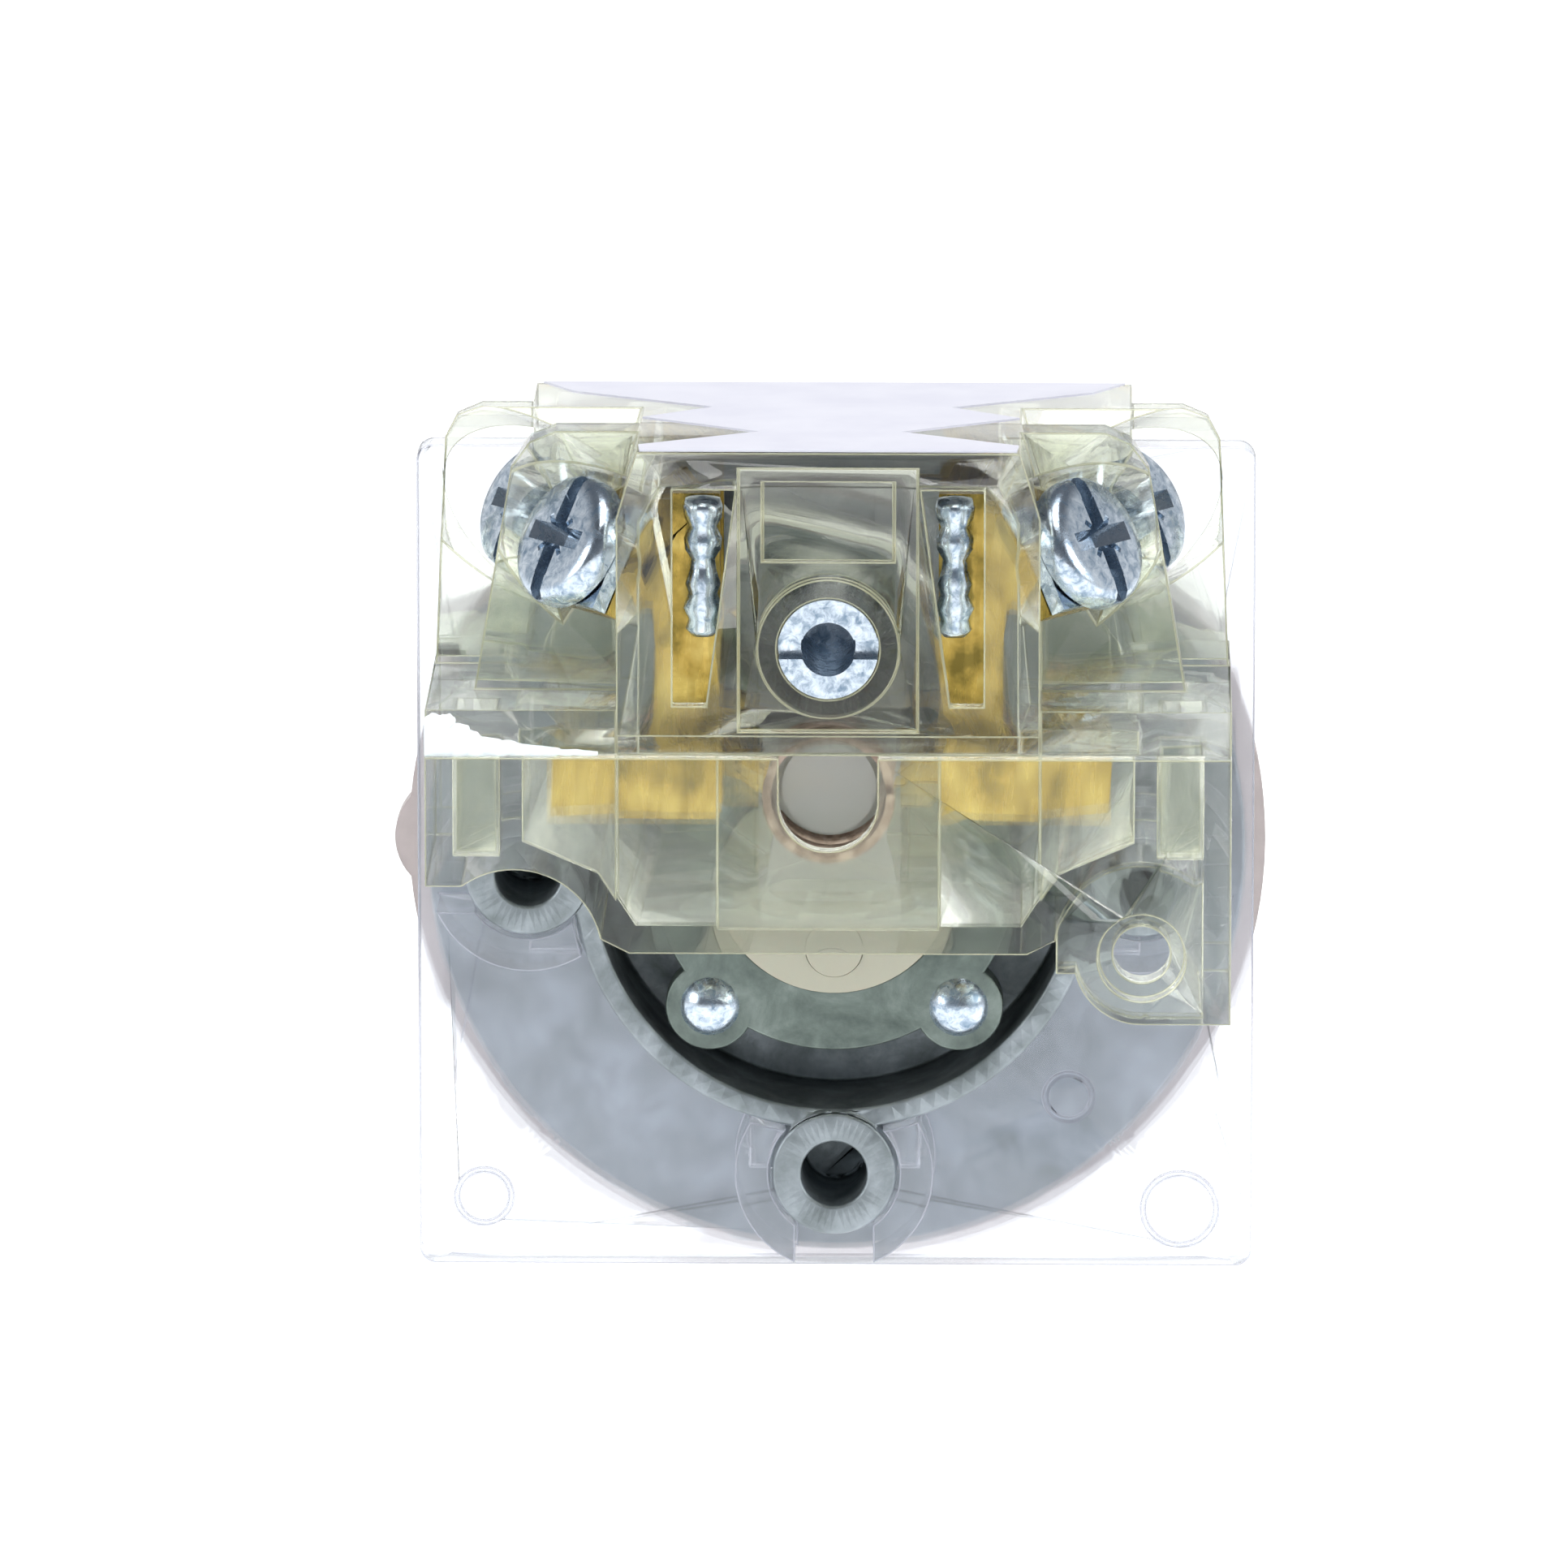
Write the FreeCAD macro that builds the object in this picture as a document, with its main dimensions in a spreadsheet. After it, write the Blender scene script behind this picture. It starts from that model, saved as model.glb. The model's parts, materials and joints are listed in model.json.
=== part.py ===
"""Key-operated selector switch for a 30 mm panel hole, with one clear contact block on its rear.

Millimetres, +Z up. The origin is where the operator's axis meets the panel's rear face. +Y runs through the
panel to the key, -Y runs back through the contact block. The block sits on the upper of four mounting bosses.
"""
import FreeCAD, Part
import math
import os
import re

import Sketcher

DIMENSIONS = {
    # panel side of the operator
    "barrel_radius": 15.0, "barrel_front": 11.0, "barrel_wall": 2.5,
    "nib_half_width": 2.2, "nib_rise": 1.5, "nib_front": 1.4,
    "panel_gap": 3.0, "thread_gap": 0.06, "fit_gap": 0.05, "part_gap": 0.3,
    "gasket_thickness": 1.6, "gasket_proud": 1.2, "gasket_clear": 0.5,
    "gasket_tab_radius": 3.4, "gasket_tab_proud": 0.8,
    "washer_thickness": 0.8, "washer_width": 3.2,
    "nut_thickness": 5.4, "nut_wall": 4.0, "nut_notch": 3.6, "nut_notch_depth": 1.6,
    # rear of the operator
    "flange_radius": 23.1, "flange_thickness": 2.6,
    "cup_radius": 14.75, "cup_wall": 1.2, "cup_length": 7.4,
    "partition_thickness": 2.0,
    "boss_circle": 17.2, "boss_radius": 3.5, "boss_length": 7.8, "boss_hole": 1.85, "boss_hole_depth": 7.0,
    "web_half_width": 4.6, "web_length": 5.4,
    "post_radius": 1.6, "rivet_x": 7.0, "rivet_z": 7.7, "rivet_shank": 0.8, "rivet_head": 1.7,
    # clear guard plate
    "plate_margin": 6.4, "plate_thickness": 2.4, "plate_corner": 1.0, "plate_gap": 0.4, "plate_clear": 0.2,
    "hook_wall": 1.9, "hook_length": 5.0, "hook_opening": 2.2, "mark_depth": 0.12,
    # lock
    "shell_gap": 0.1, "plug_gap": 0.06, "head_step": 0.7, "head_length": 6.0, "head_chamfer": 0.8,
    "seal_wire": 0.78, "seal_place": 7.6,
    "bezel_wall": 1.35, "bezel_cover": 1.9, "bezel_lip_thickness": 0.8,
    "plug_radius": 6.5, "plug_proud": 0.2, "keyway_width": 2.4, "keyway_low": 4.2, "keyway_high": 4.0,
    "keyway_depth": 16.8, "tail_side": 6.0, "tail_length": 3.2,
    "wafer_count": 5, "wafer_pitch": 2.6, "wafer_first": 3.6, "wafer_thickness": 1.0, "wafer_half_width": 2.6,
    "wafer_setback": 0.6, "wafer_spring_radius": 0.5, "wafer_spring_wire": 0.16, "wafer_spring_place": 3.9,
    "key_thickness": 2.1, "key_low": 4.0, "key_high": 3.8, "key_reach": 15.6, "key_shoulder": 1.2,
    "bow_radius": 11.5, "bow_place": 14.6, "bow_hole": 3.0, "bow_neck": 5.2, "bitting_depth": 1.3,
    # cam and push pins
    "throw": 3.2, "cam_hub": 7.1, "cam_gap": 0.08, "cam_shoulder": 1.2, "disc_thickness": 1.4,
    "ramp_inner": 2.2,
    "ramp_low": 0.3, "ramp_dwell": 26.0,
    "washer_wire": 0.3,
    "retainer_bore": 6.8, "retainer_wall": 3.4, "retainer_length": 5.0, "ear_thickness": 2.0,
    "ear_radius": 2.5, "guide_thickness": 1.2,
    "pin_radius": 1.6, "pin_place": 4.2, "pin_gap": 0.35,
    # contact block housing
    "block_half_width": 22.1, "block_depth": 21.7, "block_gap": 0.3, "block_wall": 1.2,
    "block_top": 28.1, "parting": 11.1, "base_floor": 0.15, "base_side": 3.85, "cutout_radius": 4.8,
    "ear_plate": 3.0, "ear_round": 3.75, "ear_low": 3.75, "ear_hole": 1.56, "ear_sink": 2.4, "side_wall": 1.5,
    "core_half_width": 11.6, "core_top_half": 10.5, "core_shoulder": 24.4, "top_wall": 2.0,
    "skirt_top": 13.6, "skirt_setback": 0.8, "leg_place": 19.3, "leg_half_width": 1.1, "leg_low": 5.6,
    "leg_depth": 5.0, "leg_gap": 0.2, "panel_half_width": 4.9, "panel_low": 12.6, "panel_high": 27.2,
    "panel_depth": 0.4, "step_height": 1.2, "step_depth": 0.5, "chamber_inset": 5.1,
    "floor_half_width": 10.9, "floor_rise": 2.0, "floor_slope": 2.5, "rib_inner": 6.1, "rib_outer": 11.6,
    "rib_depth": 1.6, "ear_plate_inner": 12.5, "ear_rise": 0.9,
    "middle_wall_place": 6.5, "middle_wall": 2.6, "middle_top_inset": 5.0, "middle_low_inset": 2.1,
    "far_wall_place": 14.0, "far_wall": 1.9, "far_top_inset": 0.7, "far_low_inset": 0.0, "wall_corner": 2.0,
    "front_inset": 5.5,
    "tube_radius": 2.75, "tube_stud": 1.75, "tube_stud_length": 5.4, "tube_tap": 1.5,
    "tube_tap_depth": 9.0, "tube_slot": 1.1, "tube_slot_depth": 1.2, "tube_collar": 3.9,
    "window_inner": 5.1, "window_outer": 8.5, "window_low": 14.0, "window_high": 26.0,
    "pillar_place": 6.9, "pillar_radius": 1.15, "pillar_low": 17.4, "pillar_high": 25.2,
    "latch_half_width": 3.6, "latch_low": 22.0, "latch_high": 26.4,
    "label_thickness": 0.12, "bead_thickness": 0.6,
    # slider, springs and bridges: distances are measured from the block's rear face
    "slide_half_width": 3.9, "slide_low": 2.1, "slide_high": 11.8, "slide_rear": 7.6, "slide_gap": 0.3,
    "spigot_radius": 2.6, "spigot_rear": 4.7, "contact_height": 8.6,
    "spring_radius": 3.7, "spring_wire": 0.5, "spring_turns": 4.0,
    "bridge_half_length": 13.2, "bridge_height": 2.8, "bridge_thickness": 0.6, "tip_place": 10.6,
    "tip_radius": 1.6, "tip_thickness": 0.7,
    "no_bridge_place": 9.0, "nc_bridge_place": 15.4, "web_place": 12.0, "web_thickness": 1.0,
    "bridge_window": 3.8, "nc_overtravel": 0.7, "no_travel": 2.2, "contact_gap": 0.05,
    "pressure_spring_radius": 1.25, "pressure_spring_wire": 0.38, "pressure_spring_turns": 3.0,
    # terminals
    "strip_thickness": 0.8, "strip_inner": 6.0, "strip_outer": 15.5, "strip_half_height": 1.8,
    "riser_outer": 9.6, "riser_top": 25.0,
    "rear_head_x": 15.0, "rear_head_place": 3.5, "front_head_x": 17.4, "front_head_place": 13.2,
    "head_z": 22.9, "screw_splay": 35.6, "screw_rise": 27.0,
    "screw_head": 3.75, "screw_head_thickness": 1.9, "screw_shank": 1.7, "screw_length": 7.2,
    "recess_width": 0.9,
    "recess_depth": 1.2, "clamp_half": 3.1, "clamp_thickness": 0.9, "clamp_gap": 0.1, "wire_gap": 0.1,
    "tab_thickness": 1.1, "well_radius": 4.6,
    "rear_arm_place": 4.6, "front_arm_place": 14.3, "arm_setback": 2.6, "arm_low": 18.6, "arm_high": 23.8,
    "jog_low": 11.4, "arm_gap": 0.1,
}

doc = FreeCAD.newDocument("SelectorKeySwitch")
sheet = doc.addObject("Spreadsheet::Sheet", "Dim")
for row, (alias, value) in enumerate(DIMENSIONS.items(), start=1):
    sheet.set(f"A{row}", alias)
    sheet.set(f"B{row}", str(value))
    sheet.setAlias(f"B{row}", alias)
doc.recompute()

PIECES = []
WORD = re.compile(r"[a-z][a-z_]+")
NAMED = {
    "barrel_bore": "(barrel_radius - barrel_wall)",
    "nib_top": "(barrel_radius + nib_rise)",
    "gasket_bore": "(nib_top + gasket_clear)",
    "gasket_radius": "(flange_radius + gasket_proud)",
    "gasket_tab_reach": "(gasket_radius + gasket_tab_proud)",
    "washer_radius": "(barrel_radius + washer_width)",
    "nut_radius": "(barrel_radius + nut_wall)",
    "plate_side": "(2 * (boss_circle + plate_margin))",
    "tube_place": "boss_circle",
    "slide_front": "(block_depth - slide_gap)",
    "wafer_height": "(plug_radius - wafer_setback)",
    "shell_radius": "(barrel_bore - shell_gap)",
    "shell_bore": "(plug_radius + plug_gap)",
    "head_radius": "(barrel_radius - head_step)",
    "bezel_radius": "(head_radius + bezel_wall)",
    "bezel_lip": "(head_radius - bezel_cover)",
    "plug_front": "(head_front + plug_proud)",
    "partition_hole": "(cam_hub + cam_gap)",
    "cam_disc": "(cam_hub + cam_shoulder)",
    "ramp_outer": "(retainer_bore - 0.5)",
    "retainer_radius": "(retainer_bore + retainer_wall)",
    "middle_top_half": "(block_half_width - middle_top_inset)",
    "middle_low_half": "(block_half_width - middle_low_inset)",
    "far_top_half": "(block_half_width - far_top_inset)",
    "far_low_half": "(block_half_width - far_low_inset)",
    "front_half_width": "(block_half_width - front_inset)",
    "flange_back": "-(gasket_thickness + flange_thickness)",
    "partition_back": "flange_back",
    "partition_front": "(flange_back + partition_thickness)",
    "cup_back": "(flange_back - cup_length)",
    "boss_back": "(flange_back - boss_length)",
    "plate_front": "(flange_back - plate_gap)",
    "plate_back": "(plate_front - plate_thickness)",
    "disc_front": "(partition_back - 0.4)",
    "disc_back": "(disc_front - disc_thickness)",
    "ramp_start": "(disc_back - ramp_low)",
    "retainer_front": "(disc_back - part_gap)",
    "retainer_back": "(retainer_front - retainer_length)",
    "pin_tip": "(ramp_start - pin_gap)",
    "pin_end": "(boss_back - 0.15)",
    "block_front": "(boss_back - block_gap)",
    "block_rear": "(block_front - block_depth)",
    "shell_back": "(partition_front + 0.1)",
    "head_back": "(barrel_front + 0.1)",
    "head_front": "(head_back + head_length)",
    "cup_bore": "(cup_radius - cup_wall)",
}


def formula(text):
    """Expression text in which every dimension's name points at its cell."""
    def swap(match):
        word = match.group()
        if word in NAMED:
            return formula(NAMED[word])
        return "Dim." + word if word in DIMENSIONS else word
    return WORD.sub(swap, str(text))


def number(text):
    """The present value of an expression."""
    return float(sheet.evalExpression(formula(text)))


def bind(target, **sizes):
    """Ties properties of an object to expressions on the sheet."""
    for prop, text in sizes.items():
        target.setExpression(prop, formula(text))


def move(target, x="0", y="0", z="0"):
    """Ties an object's position to expressions."""
    for axis, text in (("x", x), ("y", y), ("z", z)):
        target.setExpression(f".Placement.Base.{axis}", formula(text))


def finish(result, label):
    """Names a finished sub-part, which is written to parts/LABEL.step."""
    result.Label = label
    PIECES.append(result)
    return result


# ---- simple solids ---------------------------------------------------------------------------------------
def box(x, y, z):
    """Box between pairs of expressions (low, high) along each axis."""
    item = doc.addObject("Part::Box", "Box")
    bind(item, Length=f"({x[1]}) - ({x[0]})", Width=f"({y[1]}) - ({y[0]})", Height=f"({z[1]}) - ({z[0]})")
    move(item, x[0], y[0], z[0])
    return item


def rod(radius, y, x="0", z="0"):
    """Cylinder along Y between the expressions y = (low, high)."""
    item = doc.addObject("Part::Cylinder", "Rod")
    item.Placement = FreeCAD.Placement(FreeCAD.Vector(), FreeCAD.Rotation(FreeCAD.Vector(1, 0, 0), -90))
    bind(item, Radius=radius, Height=f"({y[1]}) - ({y[0]})")
    move(item, x, y[0], z)
    return item


def fuse(*items):
    result = doc.addObject("Part::MultiFuse", "Fuse")
    result.Shapes = list(items)
    return result


def cut(base, *tools):
    result = doc.addObject("Part::Cut", "Cut")
    result.Base = base
    result.Tool = tools[0] if len(tools) == 1 else fuse(*tools)
    return result


def common(base, tool):
    result = doc.addObject("Part::Common", "Common")
    result.Base = base
    result.Tool = tool
    return result


def group(items):
    result = doc.addObject("Part::Compound", "Group")
    result.Links = list(items)
    return result


# ---- sketched bodies -------------------------------------------------------------------------------------
def new_body(name):
    return doc.addObject("PartDesign::Body", name)


def sketch(body, role, height="0"):
    """Sketch on one of the body's own origin planes, raised along the plane's normal."""
    item = body.newObject("Sketcher::SketchObject", "Sketch")
    plane = next(f for f in body.Origin.OriginFeatures if f.Role == role)
    item.AttachmentSupport = [(plane, "")]
    item.MapMode = "FlatFace"
    item.setExpression("AttachmentOffset.Base.z", formula(height))
    return item


def polygon(item, corners):
    """Closed outline whose corners are pairs of expressions."""
    points = [FreeCAD.Vector(number(x), number(y), 0) for x, y in corners]
    first = item.GeometryCount
    for i, start in enumerate(points):
        item.addGeometry(Part.LineSegment(start, points[(i + 1) % len(points)]), False)
    for i, (x, y) in enumerate(corners):
        line = first + i
        following = first + (i + 1) % len(points)
        item.addConstraint(Sketcher.Constraint("Coincident", line, 2, following, 1))
        for kind, text, value in (("DistanceX", x, points[i].x), ("DistanceY", y, points[i].y)):
            index = item.addConstraint(Sketcher.Constraint(kind, -1, 1, line, 1, value))
            item.setExpression(f"Constraints[{index}]", formula(text))


def circle(item, radius, x="0", y="0"):
    centre = FreeCAD.Vector(number(x), number(y), 0)
    line = item.addGeometry(Part.Circle(centre, FreeCAD.Vector(0, 0, 1), number(radius)), False)
    for kind, text, value in (("DistanceX", x, centre.x), ("DistanceY", y, centre.y)):
        index = item.addConstraint(Sketcher.Constraint(kind, -1, 1, line, 3, value))
        item.setExpression(f"Constraints[{index}]", formula(text))
    index = item.addConstraint(Sketcher.Constraint("Radius", line, number(radius)))
    item.setExpression(f"Constraints[{index}]", formula(radius))


def turned(body, profile):
    """Solid of revolution about Y from a profile of (radius, y) corners."""
    outline = sketch(body, "XY_Plane")
    polygon(outline, profile)
    feature = body.newObject("PartDesign::Revolution", "Turned")
    feature.Profile = outline
    feature.ReferenceAxis = (outline, ["V_Axis"])
    feature.Angle = 360
    return feature


def pad(body, y, corners=None, holes=(), round_shape=None):
    """Pad of an X-Z outline between y = (rear, front)."""
    outline = sketch(body, "XZ_Plane", f"-({y[1]})")
    if corners:
        polygon(outline, corners)
    if round_shape:
        circle(outline, *round_shape)
    for hole in holes:
        circle(outline, *hole)
    feature = body.newObject("PartDesign::Pad", "Pad")
    feature.Profile = outline
    bind(feature, Length=f"({y[1]}) - ({y[0]})")
    return feature


def pocket(body, y, corners=None, rounds=()):
    """Pocket of an X-Z outline between y = (rear, front), checked by its volume."""
    doc.recompute()
    before = body.Shape.Volume
    outline = sketch(body, "XZ_Plane", f"-({y[0]})")
    if corners:
        polygon(outline, corners)
    for item in rounds:
        circle(outline, *item)
    feature = body.newObject("PartDesign::Pocket", "Pocket")
    feature.Profile = outline
    bind(feature, Length=f"({y[1]}) - ({y[0]})")
    doc.recompute()
    if body.Shape.Volume >= before - 1e-6:
        raise RuntimeError(f"a pocket of {body.Label} cuts nothing")
    return feature


def rectangle(x, z):
    return [(x[0], z[0]), (x[1], z[0]), (x[1], z[1]), (x[0], z[1])]


def mirrored(half):
    """Outline with a left half that mirrors the right half's (x, z) corners."""
    return list(half) + [(f"-({x})", z) for x, z in reversed(half)]


def spread(body, feature, count):
    """Repeats a feature of a turned body around Y."""
    pattern = body.newObject("PartDesign::PolarPattern", "Pattern")
    pattern.Originals = [feature]
    axis = next(f for f in body.Origin.OriginFeatures if f.Role == "Y_Axis")
    pattern.Axis = (axis, [""])
    pattern.Angle = 360
    pattern.Occurrences = count
    body.Tip = pattern
    return pattern


def deep(distance):
    """Y of a place that lies `distance` in front of the block's rear face."""
    return f"(block_rear + ({distance}))"


def span(start, length):
    """Pair of Y expressions from a distance off the block's rear face, and a length."""
    return (deep(start), deep(f"{start} + {length}"))


# ---- operator body and panel hardware --------------------------------------------------------------------
def operator_body():
    body = new_body("OperatorBody")
    turned(body, [
        ("barrel_bore", "partition_front"), ("barrel_bore", "barrel_front"),
        ("barrel_radius - 0.6", "barrel_front"),
        ("barrel_radius", "barrel_front - 0.6"), ("barrel_radius", "-gasket_thickness"),
        ("flange_radius", "-gasket_thickness"), ("flange_radius", "flange_back"),
        ("cup_radius", "flange_back"),
        ("cup_radius", "cup_back"), ("cup_bore", "cup_back"), ("cup_bore", "partition_back"),
        ("partition_hole", "partition_back"), ("partition_hole", "partition_front")])
    web = pad(body, ("flange_back - web_length", "flange_back + 0.5"),
              mirrored([("web_half_width", "-(boss_circle)"), ("web_half_width", "-(cup_bore + 0.4)")]))
    spread(body, web, 4)
    boss = pad(body, ("boss_back", "flange_back + 0.5"), round_shape=("boss_radius", "0", "boss_circle"))
    spread(body, boss, 4)
    hole = pocket(body, ("boss_back", "boss_back + boss_hole_depth"),
                  rounds=[("boss_hole", "0", "boss_circle")])
    spread(body, hole, 4)
    pad(body, ("-gasket_thickness - 0.5", "nib_front"),
        rectangle(("-nib_half_width", "nib_half_width"), ("barrel_radius - 1", "nib_top")))
    for side in (-1, 1):
        for end in (-1, 1):
            pad(body, ("retainer_back + ear_thickness", "partition_back + 0.5"),
                round_shape=("post_radius", f"{side} * rivet_x", f"{end} * rivet_z"))
    holes = [("rivet_shank + fit_gap", f"{side} * rivet_x", f"{end} * rivet_z") for side in (-1,
                                                                                             1) for end in (-1, 1)]
    pocket(body, ("retainer_back + ear_thickness", "partition_back - 1.0"), rounds=holes)
    finish(body, "operator_body")


def panel_hardware():
    gasket = fuse(rod("gasket_radius", ("-gasket_thickness", "0")),
                  rod("gasket_tab_radius", ("-gasket_thickness", "0"),
                      "-(gasket_tab_reach - gasket_tab_radius)"))
    finish(cut(gasket, rod("gasket_bore", ("-gasket_thickness - 1", "1"))), "panel_gasket")

    washer = new_body("ThrustWasher")
    back = "panel_gap"
    front = "panel_gap + washer_thickness"
    turned(washer, [("barrel_radius + part_gap", back), ("washer_radius", back),
                    ("washer_radius", front), ("barrel_radius + part_gap", front)])
    finish(washer, "thrust_washer")

    nut = new_body("RingNut")
    back = front
    front = f"{back} + nut_thickness"
    turned(nut, [("barrel_radius + thread_gap", back), ("nut_radius", back), ("nut_radius", f"{front} - 0.8"),
                 ("nut_radius - 0.8", front), ("barrel_radius + thread_gap", front)])
    notch = pocket(nut, (back + " - 1", front + " + 1"),
                   mirrored([("nut_notch / 2", "nut_radius - nut_notch_depth"),
                             ("nut_notch / 2", "nut_radius + 2")]))
    spread(nut, notch, 8)
    finish(nut, "ring_nut")


def guard_plate():
    half = "plate_side / 2"
    body = new_body("GuardPlate")
    plate = pad(body, ("plate_back", "plate_front"), mirrored([(half, f"-({half})"), (half, half)]))
    doc.recompute()
    corners = [f"Edge{i}" for i, edge in enumerate(plate.Shape.Edges, start=1)
               if abs(edge.tangentAt(edge.FirstParameter).y) > 0.9]
    rounding = body.newObject("PartDesign::Fillet", "Corners")
    rounding.Base = (plate, corners)
    bind(rounding, Radius="plate_corner")
    pocket(body, ("plate_back", "plate_front"), rounds=[("cup_radius + plate_clear", "0", "0")])
    slot = pocket(body, ("plate_back", "plate_front"),
                  mirrored([("web_half_width + plate_clear", "-(boss_circle)"),
                            ("web_half_width + plate_clear", "-cup_bore")]))
    spread(body, slot, 4)
    rim = pocket(body, ("plate_back", "plate_front"),
                 rounds=[("boss_radius + plate_clear", "0", "-(boss_circle)")])
    spread(body, rim, 4)
    for x, z, radius in (("-19.9", "-19.7", "1.67"), ("19.5", "-20.3", "2.2"), ("13.2", "-13.8", "1.45")):
        pocket(body, ("plate_back - 1", "plate_back + mark_depth"),
               rounds=[(radius, x, z), (f"{radius} - 0.25", x, z)])
    hooks = []
    outer = "boss_radius + plate_clear + hook_wall"
    reach = ("plate_back - hook_length", "plate_back + 0.6")
    for turn in range(4):
        sleeve = cut(rod(outer, reach, "0", "-(boss_circle)"),
                     rod("boss_radius + plate_clear", ("plate_back - hook_length - 1", "plate_back + 1"),
                         "0", "-(boss_circle)"),
                     box(("-hook_opening", "hook_opening"),
                         ("plate_back - hook_length - 1", "plate_back + 1"),
                         ("-(boss_circle) - 8", "-(boss_circle) + 8")),
                     box(("-(web_half_width + plate_clear)", "web_half_width + plate_clear"),
                         ("flange_back - web_length - plate_clear", "plate_back + 1"),
                         ("-(boss_circle)", "-(boss_circle) + 8")),
                     rod("cup_radius + plate_clear", ("plate_back - hook_length - 1", "plate_back + 1")))
        turned_sleeve = doc.addObject("Part::Compound", "Hooks")
        turned_sleeve.Links = [sleeve]
        turned_sleeve.Placement = FreeCAD.Placement(
            FreeCAD.Vector(), FreeCAD.Rotation(FreeCAD.Vector(0, 1, 0), 90 * turn))
        hooks.append(turned_sleeve)
    finish(fuse(body, *hooks), "guard_plate")


# ---- lock ------------------------------------------------------------------------------------------------
def lock():
    shell = new_body("LockShell")
    floor = "shell_radius - 2 * seal_wire + 0.06"
    turned(shell, [
        ("shell_bore", "shell_back"), ("shell_radius", "shell_back"),
        ("shell_radius", "seal_place - seal_wire"), (floor, "seal_place - seal_wire"),
        (floor, "seal_place + seal_wire"), ("shell_radius", "seal_place + seal_wire"),
        ("shell_radius", "head_back"), ("head_radius", "head_back"),
        ("head_radius", "head_front - head_chamfer"),
        ("head_radius - head_chamfer", "head_front"), ("shell_bore", "head_front")])
    finish(shell, "lock_shell")

    seal = doc.addObject("Part::Torus", "Seal")
    seal.Placement = FreeCAD.Placement(FreeCAD.Vector(), FreeCAD.Rotation(FreeCAD.Vector(1, 0, 0), 90))
    bind(seal, Radius1="shell_radius - seal_wire + 0.08", Radius2="seal_wire - 0.01")
    move(seal, y="seal_place")
    finish(seal, "lock_seal")

    bezel = new_body("Bezel")
    back = "head_back + 0.1"
    lip = "head_front + 0.1"
    front = f"{lip} + bezel_lip_thickness"
    turned(bezel, [
        ("head_radius + fit_gap", back), ("bezel_radius", back), ("bezel_radius", f"{front} - 0.7"),
        ("bezel_radius - 0.7", front), ("bezel_lip", front), ("bezel_lip", lip),
        ("head_radius + fit_gap", lip)])
    finish(bezel, "bezel")

    plug = new_body("LockPlug")
    turned(plug, [("0", "partition_front + 0.2"), ("plug_radius", "partition_front + 0.2"),
                  ("plug_radius", "plug_front - 0.4"), ("plug_radius - 0.4", "plug_front"),
                  ("0", "plug_front")])
    pad(plug, ("partition_front + 0.2 - tail_length", "partition_front + 0.7"),
        mirrored([("tail_side / 2", "-tail_side / 2"), ("tail_side / 2", "tail_side / 2")]))
    pocket(plug, ("plug_front - keyway_depth", "plug_front + 1"),
           mirrored([("keyway_width / 2", "-keyway_low"), ("keyway_width / 2", "keyway_high")]))
    slots = []
    wafers = []
    springs = []
    for i in range(int(number("wafer_count"))):
        middle = f"wafer_first + {i} * wafer_pitch"
        wide = "wafer_half_width + fit_gap"
        slots.append(box((f"-({wide})", wide), (f"{middle} - wafer_thickness / 2 - fit_gap",
                                                 f"{middle} + wafer_thickness / 2 + fit_gap"),
                         ("-(plug_radius + 0.5)", "plug_radius + 0.5")))
        slots.append(rod_up("wafer_spring_radius + 0.1", ("0", "4.4"), "wafer_spring_place", middle))
        reach = (f"{middle} - wafer_thickness / 2", f"{middle} + wafer_thickness / 2")
        wafers.append(cut(
            box(("-wafer_half_width", "wafer_half_width"), reach, ("-wafer_height", "wafer_height")),
            box(("-(keyway_width / 2 + 0.05)", "keyway_width / 2 + 0.05"),
                (reach[0] + " - 1", reach[1] + " + 1"),
                ("-(keyway_low + 0.05)", "keyway_high + 0.05"))))
        springs.append(coil("wafer_spring_radius - wafer_spring_wire / 2", "wafer_spring_wire / 2", "3.6", 6,
                            ("wafer_spring_place", middle, "0.3"), FreeCAD.Vector(0, 0, 1)))
    finish(cut(plug, *slots), "lock_plug")
    finish(group(wafers), "tumbler_wafers")
    finish(group(springs), "wafer_springs")


def rod_up(radius, z, x, y):
    """Cylinder along Z."""
    item = doc.addObject("Part::Cylinder", "Post")
    bind(item, Radius=radius, Height=f"({z[1]}) - ({z[0]})")
    move(item, x, y, z[0])
    return item


def coil(radius, wire, length, turns, place, direction):
    """Round-wire coil spring as a swept helix, from `place` along `direction`."""
    height = number(length)
    mean = number(radius)
    helix = Part.makeHelix(height / turns, height, mean)
    start = FreeCAD.Vector(mean, 0, 0)
    section = Part.Wire([Part.makeCircle(number(wire), start, FreeCAD.Vector(0, 1, 0))])
    item = doc.addObject("Part::Feature", "Coil")
    item.Shape = Part.Wire(helix.Edges).makePipeShell([section], True, True)
    item.Placement = FreeCAD.Placement(FreeCAD.Vector(*[number(v) for v in place]),
                                       FreeCAD.Rotation(FreeCAD.Vector(0, 0, 1), direction))
    return item


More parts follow.
